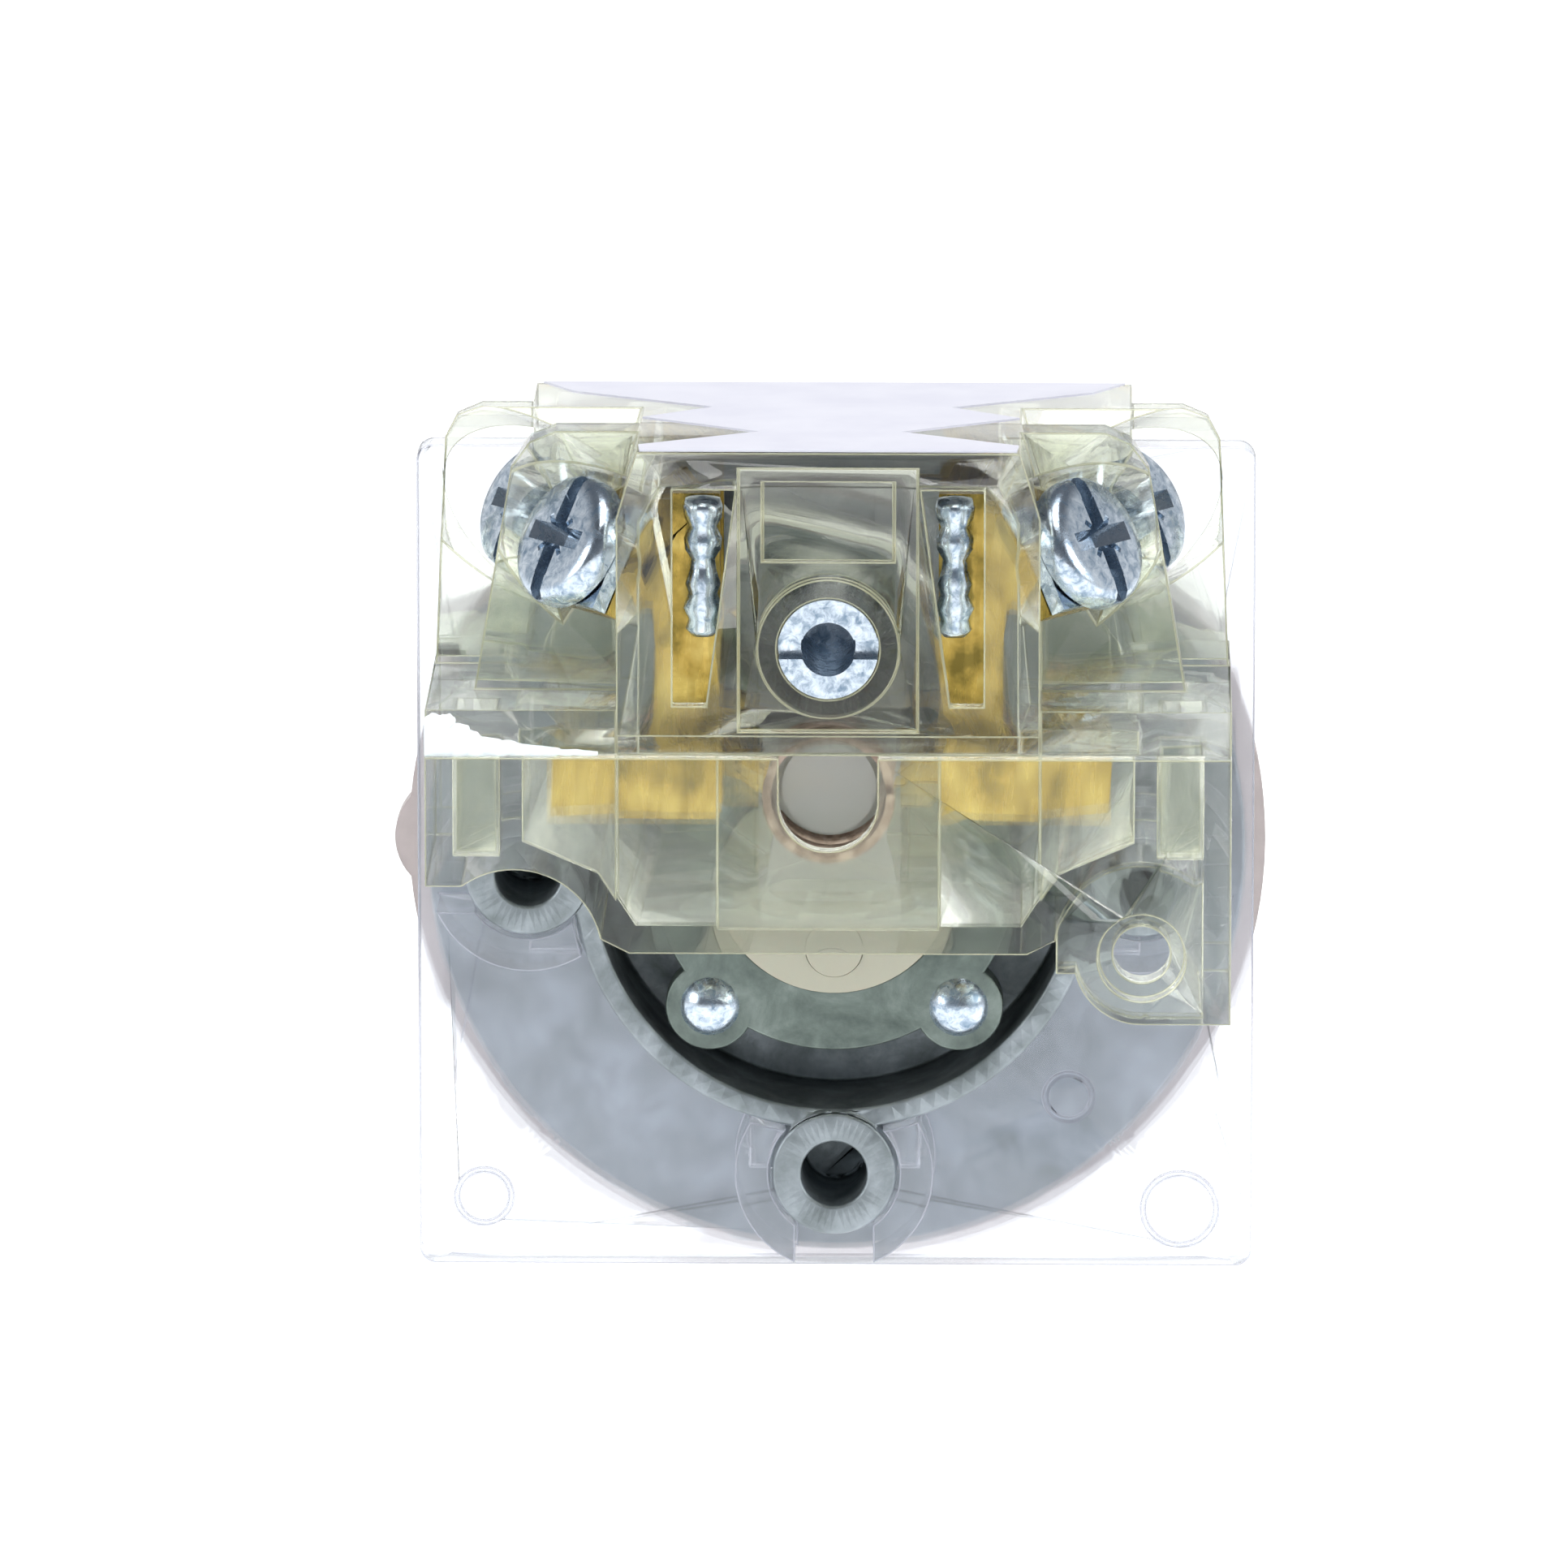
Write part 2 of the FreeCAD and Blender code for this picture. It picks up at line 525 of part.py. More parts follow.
def key():
    back = "plug_front - key_reach"
    shoulder = "plug_front + key_shoulder"
    half = "key_thickness / 2"
    blade = box((f"-{half}", half), (back, f"{shoulder} + 3"), ("-key_low", "key_high"))
    neck = box((f"-{half}", half), (shoulder, "plug_front + bow_place - 4"), ("-bow_neck", "bow_neck"))
    bow = doc.addObject("Part::Cylinder", "Bow")
    hole = doc.addObject("Part::Cylinder", "BowHole")
    for disc, radius, shift in ((bow, "bow_radius", "0"), (hole, "bow_hole", "5.5")):
        disc.Placement = FreeCAD.Placement(FreeCAD.Vector(), FreeCAD.Rotation(FreeCAD.Vector(0, 1, 0), 90))
        bind(disc, Radius=radius, Height="key_thickness + 2" if disc is hole else "key_thickness")
        move(disc, f"-{half}" if disc is bow else f"-{half} - 1", f"plug_front + bow_place + {shift}", "0")
    cuts = [hole]
    for i in range(int(number("wafer_count"))):
        notch = doc.addObject("Part::Box", "Bitting")
        notch.Placement = FreeCAD.Placement(FreeCAD.Vector(), FreeCAD.Rotation(FreeCAD.Vector(1, 0, 0), 45))
        depth = f"bitting_depth * {(0.6, 1.0, 0.75, 1.15, 0.5)[i]}"
        bind(notch, Length="key_thickness + 2", Width="4", Height="4")
        move(notch, f"-{half} - 1", f"wafer_first + {i} * wafer_pitch", f"key_high - {depth}")
        cuts.append(notch)
    tip = doc.addObject("Part::Box", "Tip")
    tip.Placement = FreeCAD.Placement(FreeCAD.Vector(), FreeCAD.Rotation(FreeCAD.Vector(1, 0, 0), 45))
    bind(tip, Length="key_thickness + 2", Width="6", Height="6")
    move(tip, f"-{half} - 1", f"{back}", "-key_low - 6")
    cuts.append(tip)
    for side in (-1, 1):
        low = f"{side} * ({half} - 0.35)"
        groove = box((low if side > 0 else f"{low} - 1", f"{low} + 1" if side > 0 else low),
                     (f"{back} - 1", shoulder), ("-1.4", "-0.4"))
        cuts.append(groove)
    finish(cut(fuse(blade, neck, bow), *cuts), "key")


# ---- cam, retainer and push pins -------------------------------------------------------------------------
def cam():
    body = new_body("SelectorCam")
    turned(body, [("0", "partition_front - 0.1"), ("cam_hub", "partition_front - 0.1"),
                  ("cam_hub", "disc_front"), ("cam_disc", "disc_front"), ("cam_disc", "disc_back"),
                  ("ramp_outer", "disc_back"), ("ramp_outer", "ramp_start"), ("0", "ramp_start")])
    profile = [("ramp_inner", "ramp_start - throw"), ("ramp_outer", "ramp_start - throw"),
               ("ramp_outer", "disc_front - throw + 0.4"), ("ramp_inner", "disc_front - throw + 0.4")]
    ramp = body.newObject("PartDesign::AdditiveHelix", "Ramp")
    outline = sketch(body, "XY_Plane")
    polygon(outline, profile)
    ramp.Profile = outline
    ramp.ReferenceAxis = (outline, ["V_Axis"])
    ramp.Mode = "height-turns-growth"
    ramp.Turns = 0.25
    ramp.Growth = 0
    ramp.LeftHanded = True
    bind(ramp, Height="throw")
    spread(body, ramp, 2)
    outline = sketch(body, "XY_Plane")
    polygon(outline, profile[:2] + [("ramp_outer", "disc_back + 0.4"), ("ramp_inner", "disc_back + 0.4")])
    dwell = body.newObject("PartDesign::Revolution", "Dwell")
    dwell.Profile = outline
    dwell.ReferenceAxis = (outline, ["V_Axis"])
    bind(dwell, Angle="ramp_dwell")
    spread(body, dwell, 2)
    pocket(body, ("partition_front + 0.1 - tail_length", "partition_front"),
           mirrored([("tail_side / 2 + fit_gap", "-tail_side / 2 - fit_gap"),
                     ("tail_side / 2 + fit_gap", "tail_side / 2 + fit_gap")]))
    finish(body, "selector_cam")


def retainer():
    washer = new_body("WaveWasher")
    turned(washer, [("cam_hub + 0.3", "partition_back - 0.05"), ("cam_disc", "partition_back - 0.05"),
                    ("cam_disc", "partition_back - 0.05 - washer_wire"),
                    ("cam_hub + 0.3", "partition_back - 0.05 - washer_wire")])
    finish(washer, "wave_washer")
    ring = rod("retainer_radius", ("retainer_back", "retainer_front"))
    ears = []
    holes = []
    rivets = []
    for side in (-1, 1):
        for end in (-1, 1):
            place = (f"{side} * rivet_x", f"{end} * rivet_z")
            ears.append(rod("ear_radius", ("retainer_back", "retainer_back + ear_thickness"), *place))
            holes.append(rod("rivet_shank + fit_gap", ("retainer_back - 1", "retainer_front + 1"), *place))
            holes.append(rod("post_radius + 0.1", ("retainer_back + ear_thickness", "retainer_front + 1"),
                             *place))
            rivets.append(fuse(
                rod("rivet_shank", ("retainer_back - 0.4", "partition_back - 1.2"), *place),
                dome("rivet_head", "retainer_back", place)))
    finish(cut(fuse(ring, *ears), rod("retainer_bore", ("retainer_back - 1", "retainer_front + 1")),
               *holes), "retainer")
    finish(group(rivets), "retainer_rivets")

    guide = new_body("PusherGuide")
    pad(guide, ("boss_back", "boss_back + guide_thickness"),
        round_shape=("retainer_bore - fit_gap", "0", "0"),
        holes=[("pin_radius + fit_gap", "0", "pin_place"), ("pin_radius + fit_gap", "0", "-pin_place")])
    finish(guide, "pusher_guide")

    for name, side in (("upper_push_pin", 1), ("lower_push_pin", -1)):
        height = f"{side} * pin_place"
        nose = doc.addObject("Part::Sphere", "Nose")
        bind(nose, Radius="pin_radius")
        move(nose, "0", "pin_tip - pin_radius", height)
        finish(fuse(rod("pin_radius", ("pin_end", "pin_tip - pin_radius"), "0", height), nose), name)


def dome(radius, base, place):
    """Low round head that stands rearwards from y = base."""
    ball = doc.addObject("Part::Sphere", "Dome")
    bind(ball, Radius=f"{radius} * 1.2")
    move(ball, place[0], f"{base} + {radius} * 0.7", place[1])
    return common(ball, rod(radius, (f"{base} - 2", base), *place))


# ---- contact block housing -------------------------------------------------------------------------------
def screw_frames():
    """Name, placement and Y of each terminal screw's head, with Z of the placement along the screw, outwards."""
    rise = math.radians(number("screw_rise"))
    splay = math.radians(number("screw_splay"))
    frames = []
    for end in ("rear", "front"):
        for name, side in (("left", -1), ("right", 1)):
            out = FreeCAD.Vector(side * math.cos(rise) * math.cos(splay), -math.cos(rise) * math.sin(splay),
                                 math.sin(rise))
            along = FreeCAD.Vector(side * math.sin(splay), math.cos(splay), 0)
            turn = FreeCAD.Rotation(along, FreeCAD.Vector(), out, "ZXY")
            place = FreeCAD.Vector(side * number(f"{end}_head_x"), number(deep(f"{end}_head_place")),
                                   number("head_z"))
            frames.append((f"{end}_{name}", side, FreeCAD.Placement(place, turn)))
    return frames


def aimed(item, frame, height):
    """Puts a solid on a screw's axis, `height` millimetres out from the head's rim."""
    item.Placement = frame.multiply(FreeCAD.Placement(FreeCAD.Vector(0, 0, number(height)),
                                                      FreeCAD.Rotation()))
    return item


def drum(radius, length, frame, height):
    item = doc.addObject("Part::Cylinder", "Drum")
    bind(item, Radius=radius, Height=length)
    return aimed(item, frame, height)


def block(half, length, frame, height, half_across=None):
    """Square block across a screw's axis."""
    half_across = half_across or half
    item = doc.addObject("Part::Box", "Block")
    bind(item, Length=f"2 * ({half})", Width=f"2 * ({half_across})", Height=length)
    corner = FreeCAD.Vector(-number(half), -number(half_across), number(height))
    item.Placement = frame.multiply(FreeCAD.Placement(corner, FreeCAD.Rotation()))
    return item


TAB_TOP = "-(screw_head_thickness + clamp_gap + clamp_thickness + wire_gap)"
TAB_BOTTOM = f"({TAB_TOP} - tab_thickness)"


def block_cover():
    body = new_body("BlockCover")
    pad(body, ("block_rear", "block_front"),
        mirrored([("core_half_width", "parting + 0.05"), ("core_half_width", "core_shoulder"),
                  ("core_top_half", "block_top")]))
    pad(body, span("skirt_setback", "block_depth - skirt_setback"),
        rectangle(("-block_half_width", "block_half_width"), ("parting + 0.05", "skirt_top")))
    for place, wall, low, top in (("middle_wall_place", "middle_wall", "middle_low_half", "middle_top_half"),
                                  ("far_wall_place", "far_wall", "far_low_half", "far_top_half")):
        pad(body, span(place, wall), mirrored([
            (low, "parting + 0.05"), (f"{low} - (({low}) - ({top})) * 0.85", "block_top - wall_corner"),
            (f"({top}) - wall_corner * 0.3", "block_top - wall_corner * 0.3"),
            (f"({top}) - wall_corner", "block_top")]))
    pad(body, span("far_wall_place + far_wall", "block_depth - far_wall_place - far_wall"),
        mirrored([("front_half_width", "parting + 0.05"), ("front_half_width", "block_top")]))
    # chamber for the risers, the slider and the contact chamber's upper part
    pocket(body, span("block_wall", "block_depth - 2 * block_wall"), mirrored([
        ("core_half_width - block_wall", "parting - 1"),
        ("core_half_width - block_wall", "core_shoulder - 0.5"),
        ("core_top_half - block_wall", "block_top - top_wall")]))
    pocket(body, span("skirt_setback + block_wall", "block_depth - skirt_setback - 2 * block_wall"),
           mirrored([
        ("block_half_width - chamber_inset", "parting - 1"),
        ("block_half_width - chamber_inset", "skirt_top - block_wall")]))
    pocket(body, span("far_wall_place + far_wall", "block_depth - far_wall_place - far_wall - block_wall"),
           mirrored([
        ("front_half_width - block_wall", "parting - 1"),
        ("front_half_width - block_wall", "block_top - top_wall")]))
    # rear face: a sunk middle panel, and a step above the parting line
    pocket(body, span("-0.2", "panel_depth + 0.2"),
           rectangle(("-panel_half_width", "panel_half_width"), ("panel_low", "panel_high")))
    pocket(body, span("-0.2", "step_depth + 0.2"),
           rectangle(("-core_half_width - 1", "core_half_width + 1"),
                     ("parting - 1", "parting + step_height")))
    # legs that locate the cover in the base
    for side in (-1, 1):
        pad(body, span("block_wall + leg_gap", "leg_depth"),
            rectangle((f"{side} * leg_place - leg_half_width", f"{side} * leg_place + leg_half_width"),
                      ("leg_low", "parting + 1")))
    # boss round the mounting tube
    pad(body, ("block_rear", "block_front"), round_shape=("tube_collar", "0", "tube_place"))
    pocket(body, ("block_rear - 1", "block_front + 1"), rounds=[("tube_radius + fit_gap", "0", "tube_place")])
    # front slot for the slider's foot
    pocket(body, span("block_depth - block_wall - 0.2", "block_wall + 1"), mirrored([
        ("slide_half_width + part_gap", "parting - 1"),
        ("slide_half_width + part_gap", "slide_high + part_gap")]))
    # windows of the rear face, with a slanted inner edge
    for side in (-1, 1):
        pocket(body, span("-0.2", "block_wall + 0.4"), [
            (f"{side} * (window_inner + 1.6)", "window_low"), (f"{side} * window_outer", "window_low"),
            (f"{side} * window_outer", "window_high"), (f"{side} * window_inner", "window_high")])
    pocket(body, span("-0.2", "1.0"), mirrored([("latch_half_width", "latch_low"),
                                                ("latch_half_width", "latch_high")]))
    wells = []
    for name, side, frame in screw_frames():
        end = name.split("_")[0]
        inner = f"{side} * (core_half_width - block_wall - 0.6)"
        outer = f"{side} * ({end}_head_x - arm_setback + 0.2)"
        wells.append(box((inner, outer) if side > 0 else (outer, inner),
                         span(f"{end}_arm_place - arm_gap", "strip_thickness + 2 * arm_gap"),
                         ("arm_low - arm_gap", "arm_high + arm_gap")))
        wells.append(drum("well_radius", "16", frame, f"{TAB_BOTTOM} - 0.2"))
        wells.append(drum("screw_shank + 0.4", "12", frame, f"{TAB_BOTTOM} - 8"))
    finish(cut(body, *wells), "block_cover")


def block_base():
    body = new_body("BlockBase")
    pad(body, ("block_rear", "block_front"), mirrored([
        ("floor_half_width", "base_floor"), ("floor_half_width + floor_rise", "base_floor + floor_rise / 2"),
        ("floor_half_width + floor_rise + floor_slope", "base_side"), ("block_half_width", "base_side"),
        ("block_half_width", "parting")]))
    pocket(body, ("block_rear - 1", "block_front + 1"), rounds=[
        ("cutout_radius", "-(boss_circle)", "0"), ("cutout_radius", "boss_circle", "0")])
    pad(body, span("0", "ear_plate"), rectangle(("ear_plate_inner", "boss_circle"),
                                                ("-ear_rise", "base_side + 1")))
    pad(body, span("0", "ear_plate"), round_shape=("ear_round", "boss_circle", "0"))
    pad(body, span("0", "ear_plate"), rectangle(("boss_circle", "block_half_width"),
                                                ("-ear_low", "base_side + 1")))
    pad(body, ("block_rear", "block_front"),
        rectangle(("block_half_width - side_wall", "block_half_width"), ("-ear_low", "base_side + 1")))
    floor = "base_floor + block_wall"
    pocket(body, span("block_wall", "block_depth - 2 * block_wall"), mirrored([
        ("floor_half_width - 0.3", floor), ("floor_half_width + floor_rise - 0.3", "base_side + 0.6"),
        ("block_half_width - chamber_inset - 0.2", "base_side + 2 * block_wall"),
        ("block_half_width - chamber_inset - 0.2", "parting + 1")]))
    for side in (-1, 1):
        pocket(body, span("block_wall", "leg_depth + 2 * leg_gap"), rectangle(
            (f"{side} * leg_place - leg_half_width - leg_gap",
             f"{side} * leg_place + leg_half_width + leg_gap"),
            ("leg_low - leg_gap", "parting + 1")))
        low = f"{side} * rib_inner"
        high = f"{side} * rib_outer"
        pad(body, span("block_wall - 0.1", "rib_depth"),
            rectangle((low, high) if side > 0 else (high, low), (f"{floor} - 0.1", "parting")))
    pocket(body, ("block_rear - 1", deep("block_wall + 0.3")), mirrored([
        ("spigot_radius + 0.1", "contact_height"), ("spigot_radius + 0.1", "parting + 1")]))
    pocket(body, ("block_rear - 1", deep("block_wall + 0.3")),
           rounds=[("spigot_radius + 0.1", "0", "contact_height")])
    pocket(body, span("block_depth - block_wall - 0.2", "block_wall + 1"), mirrored([
        ("slide_half_width + part_gap", "slide_low - part_gap"),
        ("slide_half_width + part_gap", "parting + 1")]))
    pocket(body, ("block_rear - 1", deep("ear_plate + 1")), rounds=[("ear_hole", "boss_circle", "0")])
    pocket(body, ("block_rear - 1", deep("1.0")), rounds=[("ear_sink", "boss_circle", "0")])
    finish(body, "block_base")


def mounting_tube():
    tube = new_body("MountingTube")
    turned(tube, [("0", "boss_back + tube_stud_length"), ("tube_stud", "boss_back + tube_stud_length"),
                  ("tube_stud", "boss_back - 0.05"), ("tube_radius", "boss_back - 0.05"),
                  ("tube_radius", "block_rear"), ("0", "block_rear")])
    pocket(tube, span("0", "tube_tap_depth"), rounds=[("tube_tap", "0", "0")])
    pocket(tube, span("-0.1", "tube_slot_depth + 0.1"),
           rectangle(("-5", "5"), ("-tube_slot / 2", "tube_slot / 2")))
    move(tube, z="tube_place")
    finish(tube, "mounting_tube")


def block_dressing():
    label = new_body("BlockLabel")
    outline = sketch(label, "XY_Plane", "block_top")
    right = [("10.3", "0.3"), ("10.4", "1.9"), ("3.9", "6.0"), ("10.4", "10.4"), ("6.6", "13.6"),
             ("14.4", "18.4"), ("16.2", "21.4")]
    corners = [(x, deep(y)) for x, y in right]
    polygon(outline, corners + [(f"-({x})", y) for x, y in reversed(corners)])
    sheet_pad = label.newObject("PartDesign::Pad", "Pad")
    sheet_pad.Profile = outline
    bind(sheet_pad, Length="label_thickness")
    finish(label, "block_label")

    reach = span("skirt_setback - bead_thickness", "bead_thickness")
    bead = fuse(box(("-(block_half_width)", "-(core_half_width + 1)"), reach, ("parting", "parting + 0.9")),
                box(("-(block_half_width)", "-(block_half_width - 3.5)"), reach,
                    ("parting", "parting + 2.4")))
    finish(bead, "sealant_bead")


# ---- slider, springs and bridges -------------------------------------------------------------------------
def slider():
    high = "contact_height + bridge_window / 2"
    low = "contact_height - bridge_window / 2"
    body = box(("-slide_half_width", "slide_half_width"), span("slide_rear", "slide_front - slide_rear"),
               ("slide_low", "slide_high"))
    spigot = rod("spigot_radius", (deep("spigot_rear"), deep("slide_rear + 0.5")), "0", "contact_height")
    across = ("-9", "9")
    windows = [box(across, span("no_bridge_place - 0.05", "web_place - no_bridge_place + 0.05"), (low, high)),
               box(across, span("web_place + web_thickness",
                                "nc_bridge_place + bridge_thickness + nc_overtravel - web_place - web_thickness"),
                   (low, high))]
    finish(cut(fuse(body, spigot), *windows), "plunger")

    finish(coil("spring_radius - spring_wire / 2", "spring_wire / 2",
                "slide_rear - block_wall - 2 * spring_wire",
                number("spring_turns"), ("0", deep("slide_rear - spring_wire"), "contact_height"),
                FreeCAD.Vector(0, -1, 0)), "return_spring")
    finish(coil("pressure_spring_radius - pressure_spring_wire / 2", "pressure_spring_wire / 2",
                "web_place - no_bridge_place - bridge_thickness - 2 * pressure_spring_wire",
                int(number("pressure_spring_turns")),
                ("0", deep("web_place - pressure_spring_wire"), "contact_height"), FreeCAD.Vector(0, -1, 0)),
           "no_spring")
    finish(coil("pressure_spring_radius - pressure_spring_wire / 2", "pressure_spring_wire / 2",
                "nc_bridge_place - web_place - web_thickness - 2 * pressure_spring_wire",
                int(number("pressure_spring_turns")),
                ("0", deep("nc_bridge_place - pressure_spring_wire"), "contact_height"),
                FreeCAD.Vector(0, -1, 0)),
           "nc_spring")
    for name, place, tips in (("no_bridge", "no_bridge_place", "no_bridge_place - tip_thickness"),
                              ("nc_bridge", "nc_bridge_place", "nc_bridge_place + bridge_thickness")):
        bar = box(("-bridge_half_length", "bridge_half_length"), span(place, "bridge_thickness"),
                  ("contact_height - bridge_height / 2", "contact_height + bridge_height / 2"))
        buttons = [rod("tip_radius - 0.3", span(tips, "tip_thickness"), f"{side} * tip_place",
                       "contact_height")
                   for side in (-1, 1)]
        finish(fuse(bar, *buttons), name)


# ---- terminals -------------------------------------------------------------------------------------------
def terminals():
    for name, side, frame in screw_frames():
        ends = name.split("_")
        rear = ends[0] == "rear"
        tip_front = "no_bridge_place - tip_thickness - no_travel - contact_gap"
        tip_rear = "nc_bridge_place + bridge_thickness + tip_thickness + contact_gap"
        strip_place = f"{tip_front} - tip_thickness - strip_thickness" if rear else f"{tip_rear} + tip_thickness"
        tip_place = f"{tip_front} - tip_thickness" if rear else tip_rear

        def across(inner, outer):
            return (inner, outer) if side > 0 else (f"-({outer})", f"-({inner})")
        strip = box(across("strip_inner", "strip_outer"), span(strip_place, "strip_thickness"),
                    ("contact_height - strip_half_height", "contact_height + strip_half_height"))
        button = rod("tip_radius", span(tip_place, "tip_thickness"), f"{side} * tip_place", "contact_height")
        arm_place = f"{ends[0]}_arm_place"
        stem = box(across("strip_inner", "riser_outer"), span(strip_place, "strip_thickness"),
                   ("contact_height", "jog_low + strip_thickness"))
        riser = box(across("strip_inner", "riser_outer"), span(arm_place, "strip_thickness"),
                    ("jog_low", "riser_top"))
        tab = block("clamp_half", "tab_thickness", frame, TAB_BOTTOM)
        arm = box(across("riser_outer - 0.5", f"{ends[0]}_head_x - arm_setback"),
                  span(arm_place, "strip_thickness"),
                  ("arm_low", "arm_high"))
        jog = box(across("strip_inner", "riser_outer"),
                  span(arm_place, f"{strip_place} - ({arm_place}) + strip_thickness"),
                  ("jog_low", "jog_low + strip_thickness"))
        body = cut(fuse(strip, button, stem, jog, riser, tab, arm),
                   drum("screw_shank + fit_gap", "8", frame, f"{TAB_BOTTOM} - 4"),
                   drum("well_radius", "4", frame, TAB_TOP))
        finish(body, f"terminal_{name}")

        head = drum("screw_head", "screw_head_thickness", frame, "-screw_head_thickness")
        shank = drum("screw_shank", "screw_length", frame, "-screw_length")
        cross = [block("screw_head * 0.62", "recess_depth + 1", frame, "-recess_depth", "recess_width / 2"),
                 block("recess_width / 2", "recess_depth + 1", frame, "-recess_depth", "screw_head * 0.9")]
        finish(cut(fuse(head, shank), *cross), f"screw_{name}")
        plate = block("clamp_half", "clamp_thickness", frame,
                      "-(screw_head_thickness + clamp_gap + clamp_thickness)")
        finish(cut(plate, drum("screw_shank + 0.1", "8", frame, "-7")), f"clamp_{name}")

    pillars = []
    for side in (-1, 1):
        pillars.append(rod_up("pillar_radius", ("pillar_low", "pillar_high"), f"{side} * pillar_place",
                              deep("3.0")))
    finish(group(pillars), "terminal_pillars")


operator_body()
panel_hardware()
guard_plate()
lock()
key()
cam()
retainer()
block_cover()
block_base()
mounting_tube()
block_dressing()
slider()
terminals()
doc.recompute()

failed = [item.Label for item in doc.Objects if "Invalid" in item.State or "Error" in item.State]
failed += [piece.Label for piece in PIECES if piece.Shape.isNull() or not piece.Shape.isValid()]
if failed:
    raise RuntimeError("failed objects: " + ", ".join(failed))
os.makedirs("parts", exist_ok=True)
for piece in PIECES:
    piece.Shape.exportStep(os.path.join("parts", piece.Label + ".step"))
    print(f"{piece.Label:24s} solids {len(piece.Shape.Solids)}  volume {piece.Shape.Volume:9.2f}")
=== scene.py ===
"""Looks of the key-operated selector switch: a clear contact block on a die-cast panel operator.

Metres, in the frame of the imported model: +Y through the panel to the key, +Z up, block on the upper boss.
"""

import json
import math

import bmesh
import bpy
from mathutils import Matrix, Vector


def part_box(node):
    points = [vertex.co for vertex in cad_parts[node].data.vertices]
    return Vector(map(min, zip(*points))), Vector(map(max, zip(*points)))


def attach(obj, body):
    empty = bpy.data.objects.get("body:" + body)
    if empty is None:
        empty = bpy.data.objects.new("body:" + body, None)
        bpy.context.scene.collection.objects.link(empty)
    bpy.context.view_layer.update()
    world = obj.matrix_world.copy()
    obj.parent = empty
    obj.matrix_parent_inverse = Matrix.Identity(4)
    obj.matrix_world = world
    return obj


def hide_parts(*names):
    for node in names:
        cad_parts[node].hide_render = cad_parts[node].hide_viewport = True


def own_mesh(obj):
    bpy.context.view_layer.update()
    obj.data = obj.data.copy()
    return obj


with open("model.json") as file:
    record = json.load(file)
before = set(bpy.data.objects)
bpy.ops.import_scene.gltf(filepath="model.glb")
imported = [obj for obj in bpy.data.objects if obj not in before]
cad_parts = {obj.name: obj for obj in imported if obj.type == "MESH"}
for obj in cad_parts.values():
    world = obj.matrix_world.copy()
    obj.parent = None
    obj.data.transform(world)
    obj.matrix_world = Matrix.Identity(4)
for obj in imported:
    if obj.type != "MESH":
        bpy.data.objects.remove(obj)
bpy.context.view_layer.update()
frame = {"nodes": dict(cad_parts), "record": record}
MM = 0.001
NODES = frame["nodes"]
HOME = {node: body for body, members in frame["record"]["behaviour"]["bodies"].items() for node in members}


# ---- materials -------------------------------------------------------------------------------------------
def paint(code, alpha=1.0):
    """sRGB hex to the linear colour that shaders take."""
    parts = [int(code[i:i + 2], 16) / 255 for i in (1, 3, 5)]
    return tuple(c / 12.92 if c <= 0.04045 else ((c + 0.055) / 1.055) ** 2.4 for c in parts) + (alpha,)


def add(tree, kind, inputs=None, **settings):
    """Adds a shader node. An input takes a value, or another node's output, which is linked to it."""
    item = tree.nodes.new("ShaderNode" + kind)
    for name, value in settings.items():
        setattr(item, name, value)
    for name, value in (inputs or {}).items():
        if isinstance(value, bpy.types.NodeSocket):
            tree.links.new(value, item.inputs[name])
        else:
            item.inputs[name].default_value = value
    return item


def material(name, **surface):
    """New material with a Principled surface; returns it, its node tree and the surface."""
    made = bpy.data.materials.new(name)
    made.use_nodes = True
    tree = made.node_tree
    tree.nodes.clear()
    shader = add(tree, "BsdfPrincipled", {k.replace("_", " "): v for k, v in surface.items()})
    out = add(tree, "OutputMaterial")
    tree.links.new(shader.outputs["BSDF"], out.inputs["Surface"])
    return made, tree, shader


def grain(tree, size_mm, detail=3.0, roughness=0.5, stretch=(1, 1, 1), distortion=0.0):
    """Noise in object space whose features are size_mm across."""
    where = add(tree, "TexCoord").outputs["Object"]
    if stretch != (1, 1, 1):
        where = add(tree, "Mapping", {"Vector": where, "Scale": stretch}).outputs["Vector"]
    return add(tree, "TexNoise", {"Vector": where, "Scale": 1 / (size_mm * MM), "Detail": detail,
                                  "Roughness": roughness, "Distortion": distortion}).outputs["Fac"]


def ramp(tree, factor, *stops):
    """Colour ramp over (position, colour) stops."""
    item = add(tree, "ValToRGB", {"Fac": factor})
    points = item.color_ramp.elements
    while len(points) < len(stops):
        points.new(0.5)
    for point, (position, colour) in zip(points, stops):
        point.position = position
        point.color = colour
    return item.outputs["Color"]


def relief(tree, shader, height, depth_mm, strength=1.0, over=None):
    """Bump of depth_mm from a height between 0 and 1."""
    inputs = {"Height": height, "Distance": depth_mm * MM, "Strength": strength}
    if over is not None:
        inputs["Normal"] = over
    bump = add(tree, "Bump", inputs).outputs["Normal"]
    tree.links.new(bump, shader.inputs["Normal"])
    return bump


def range_of(tree, factor, low, high, start=0.0, end=1.0):
    return add(tree, "MapRange", {"Value": factor, "From Min": start, "From Max": end,
                                  "To Min": low, "To Max": high}).outputs["Result"]


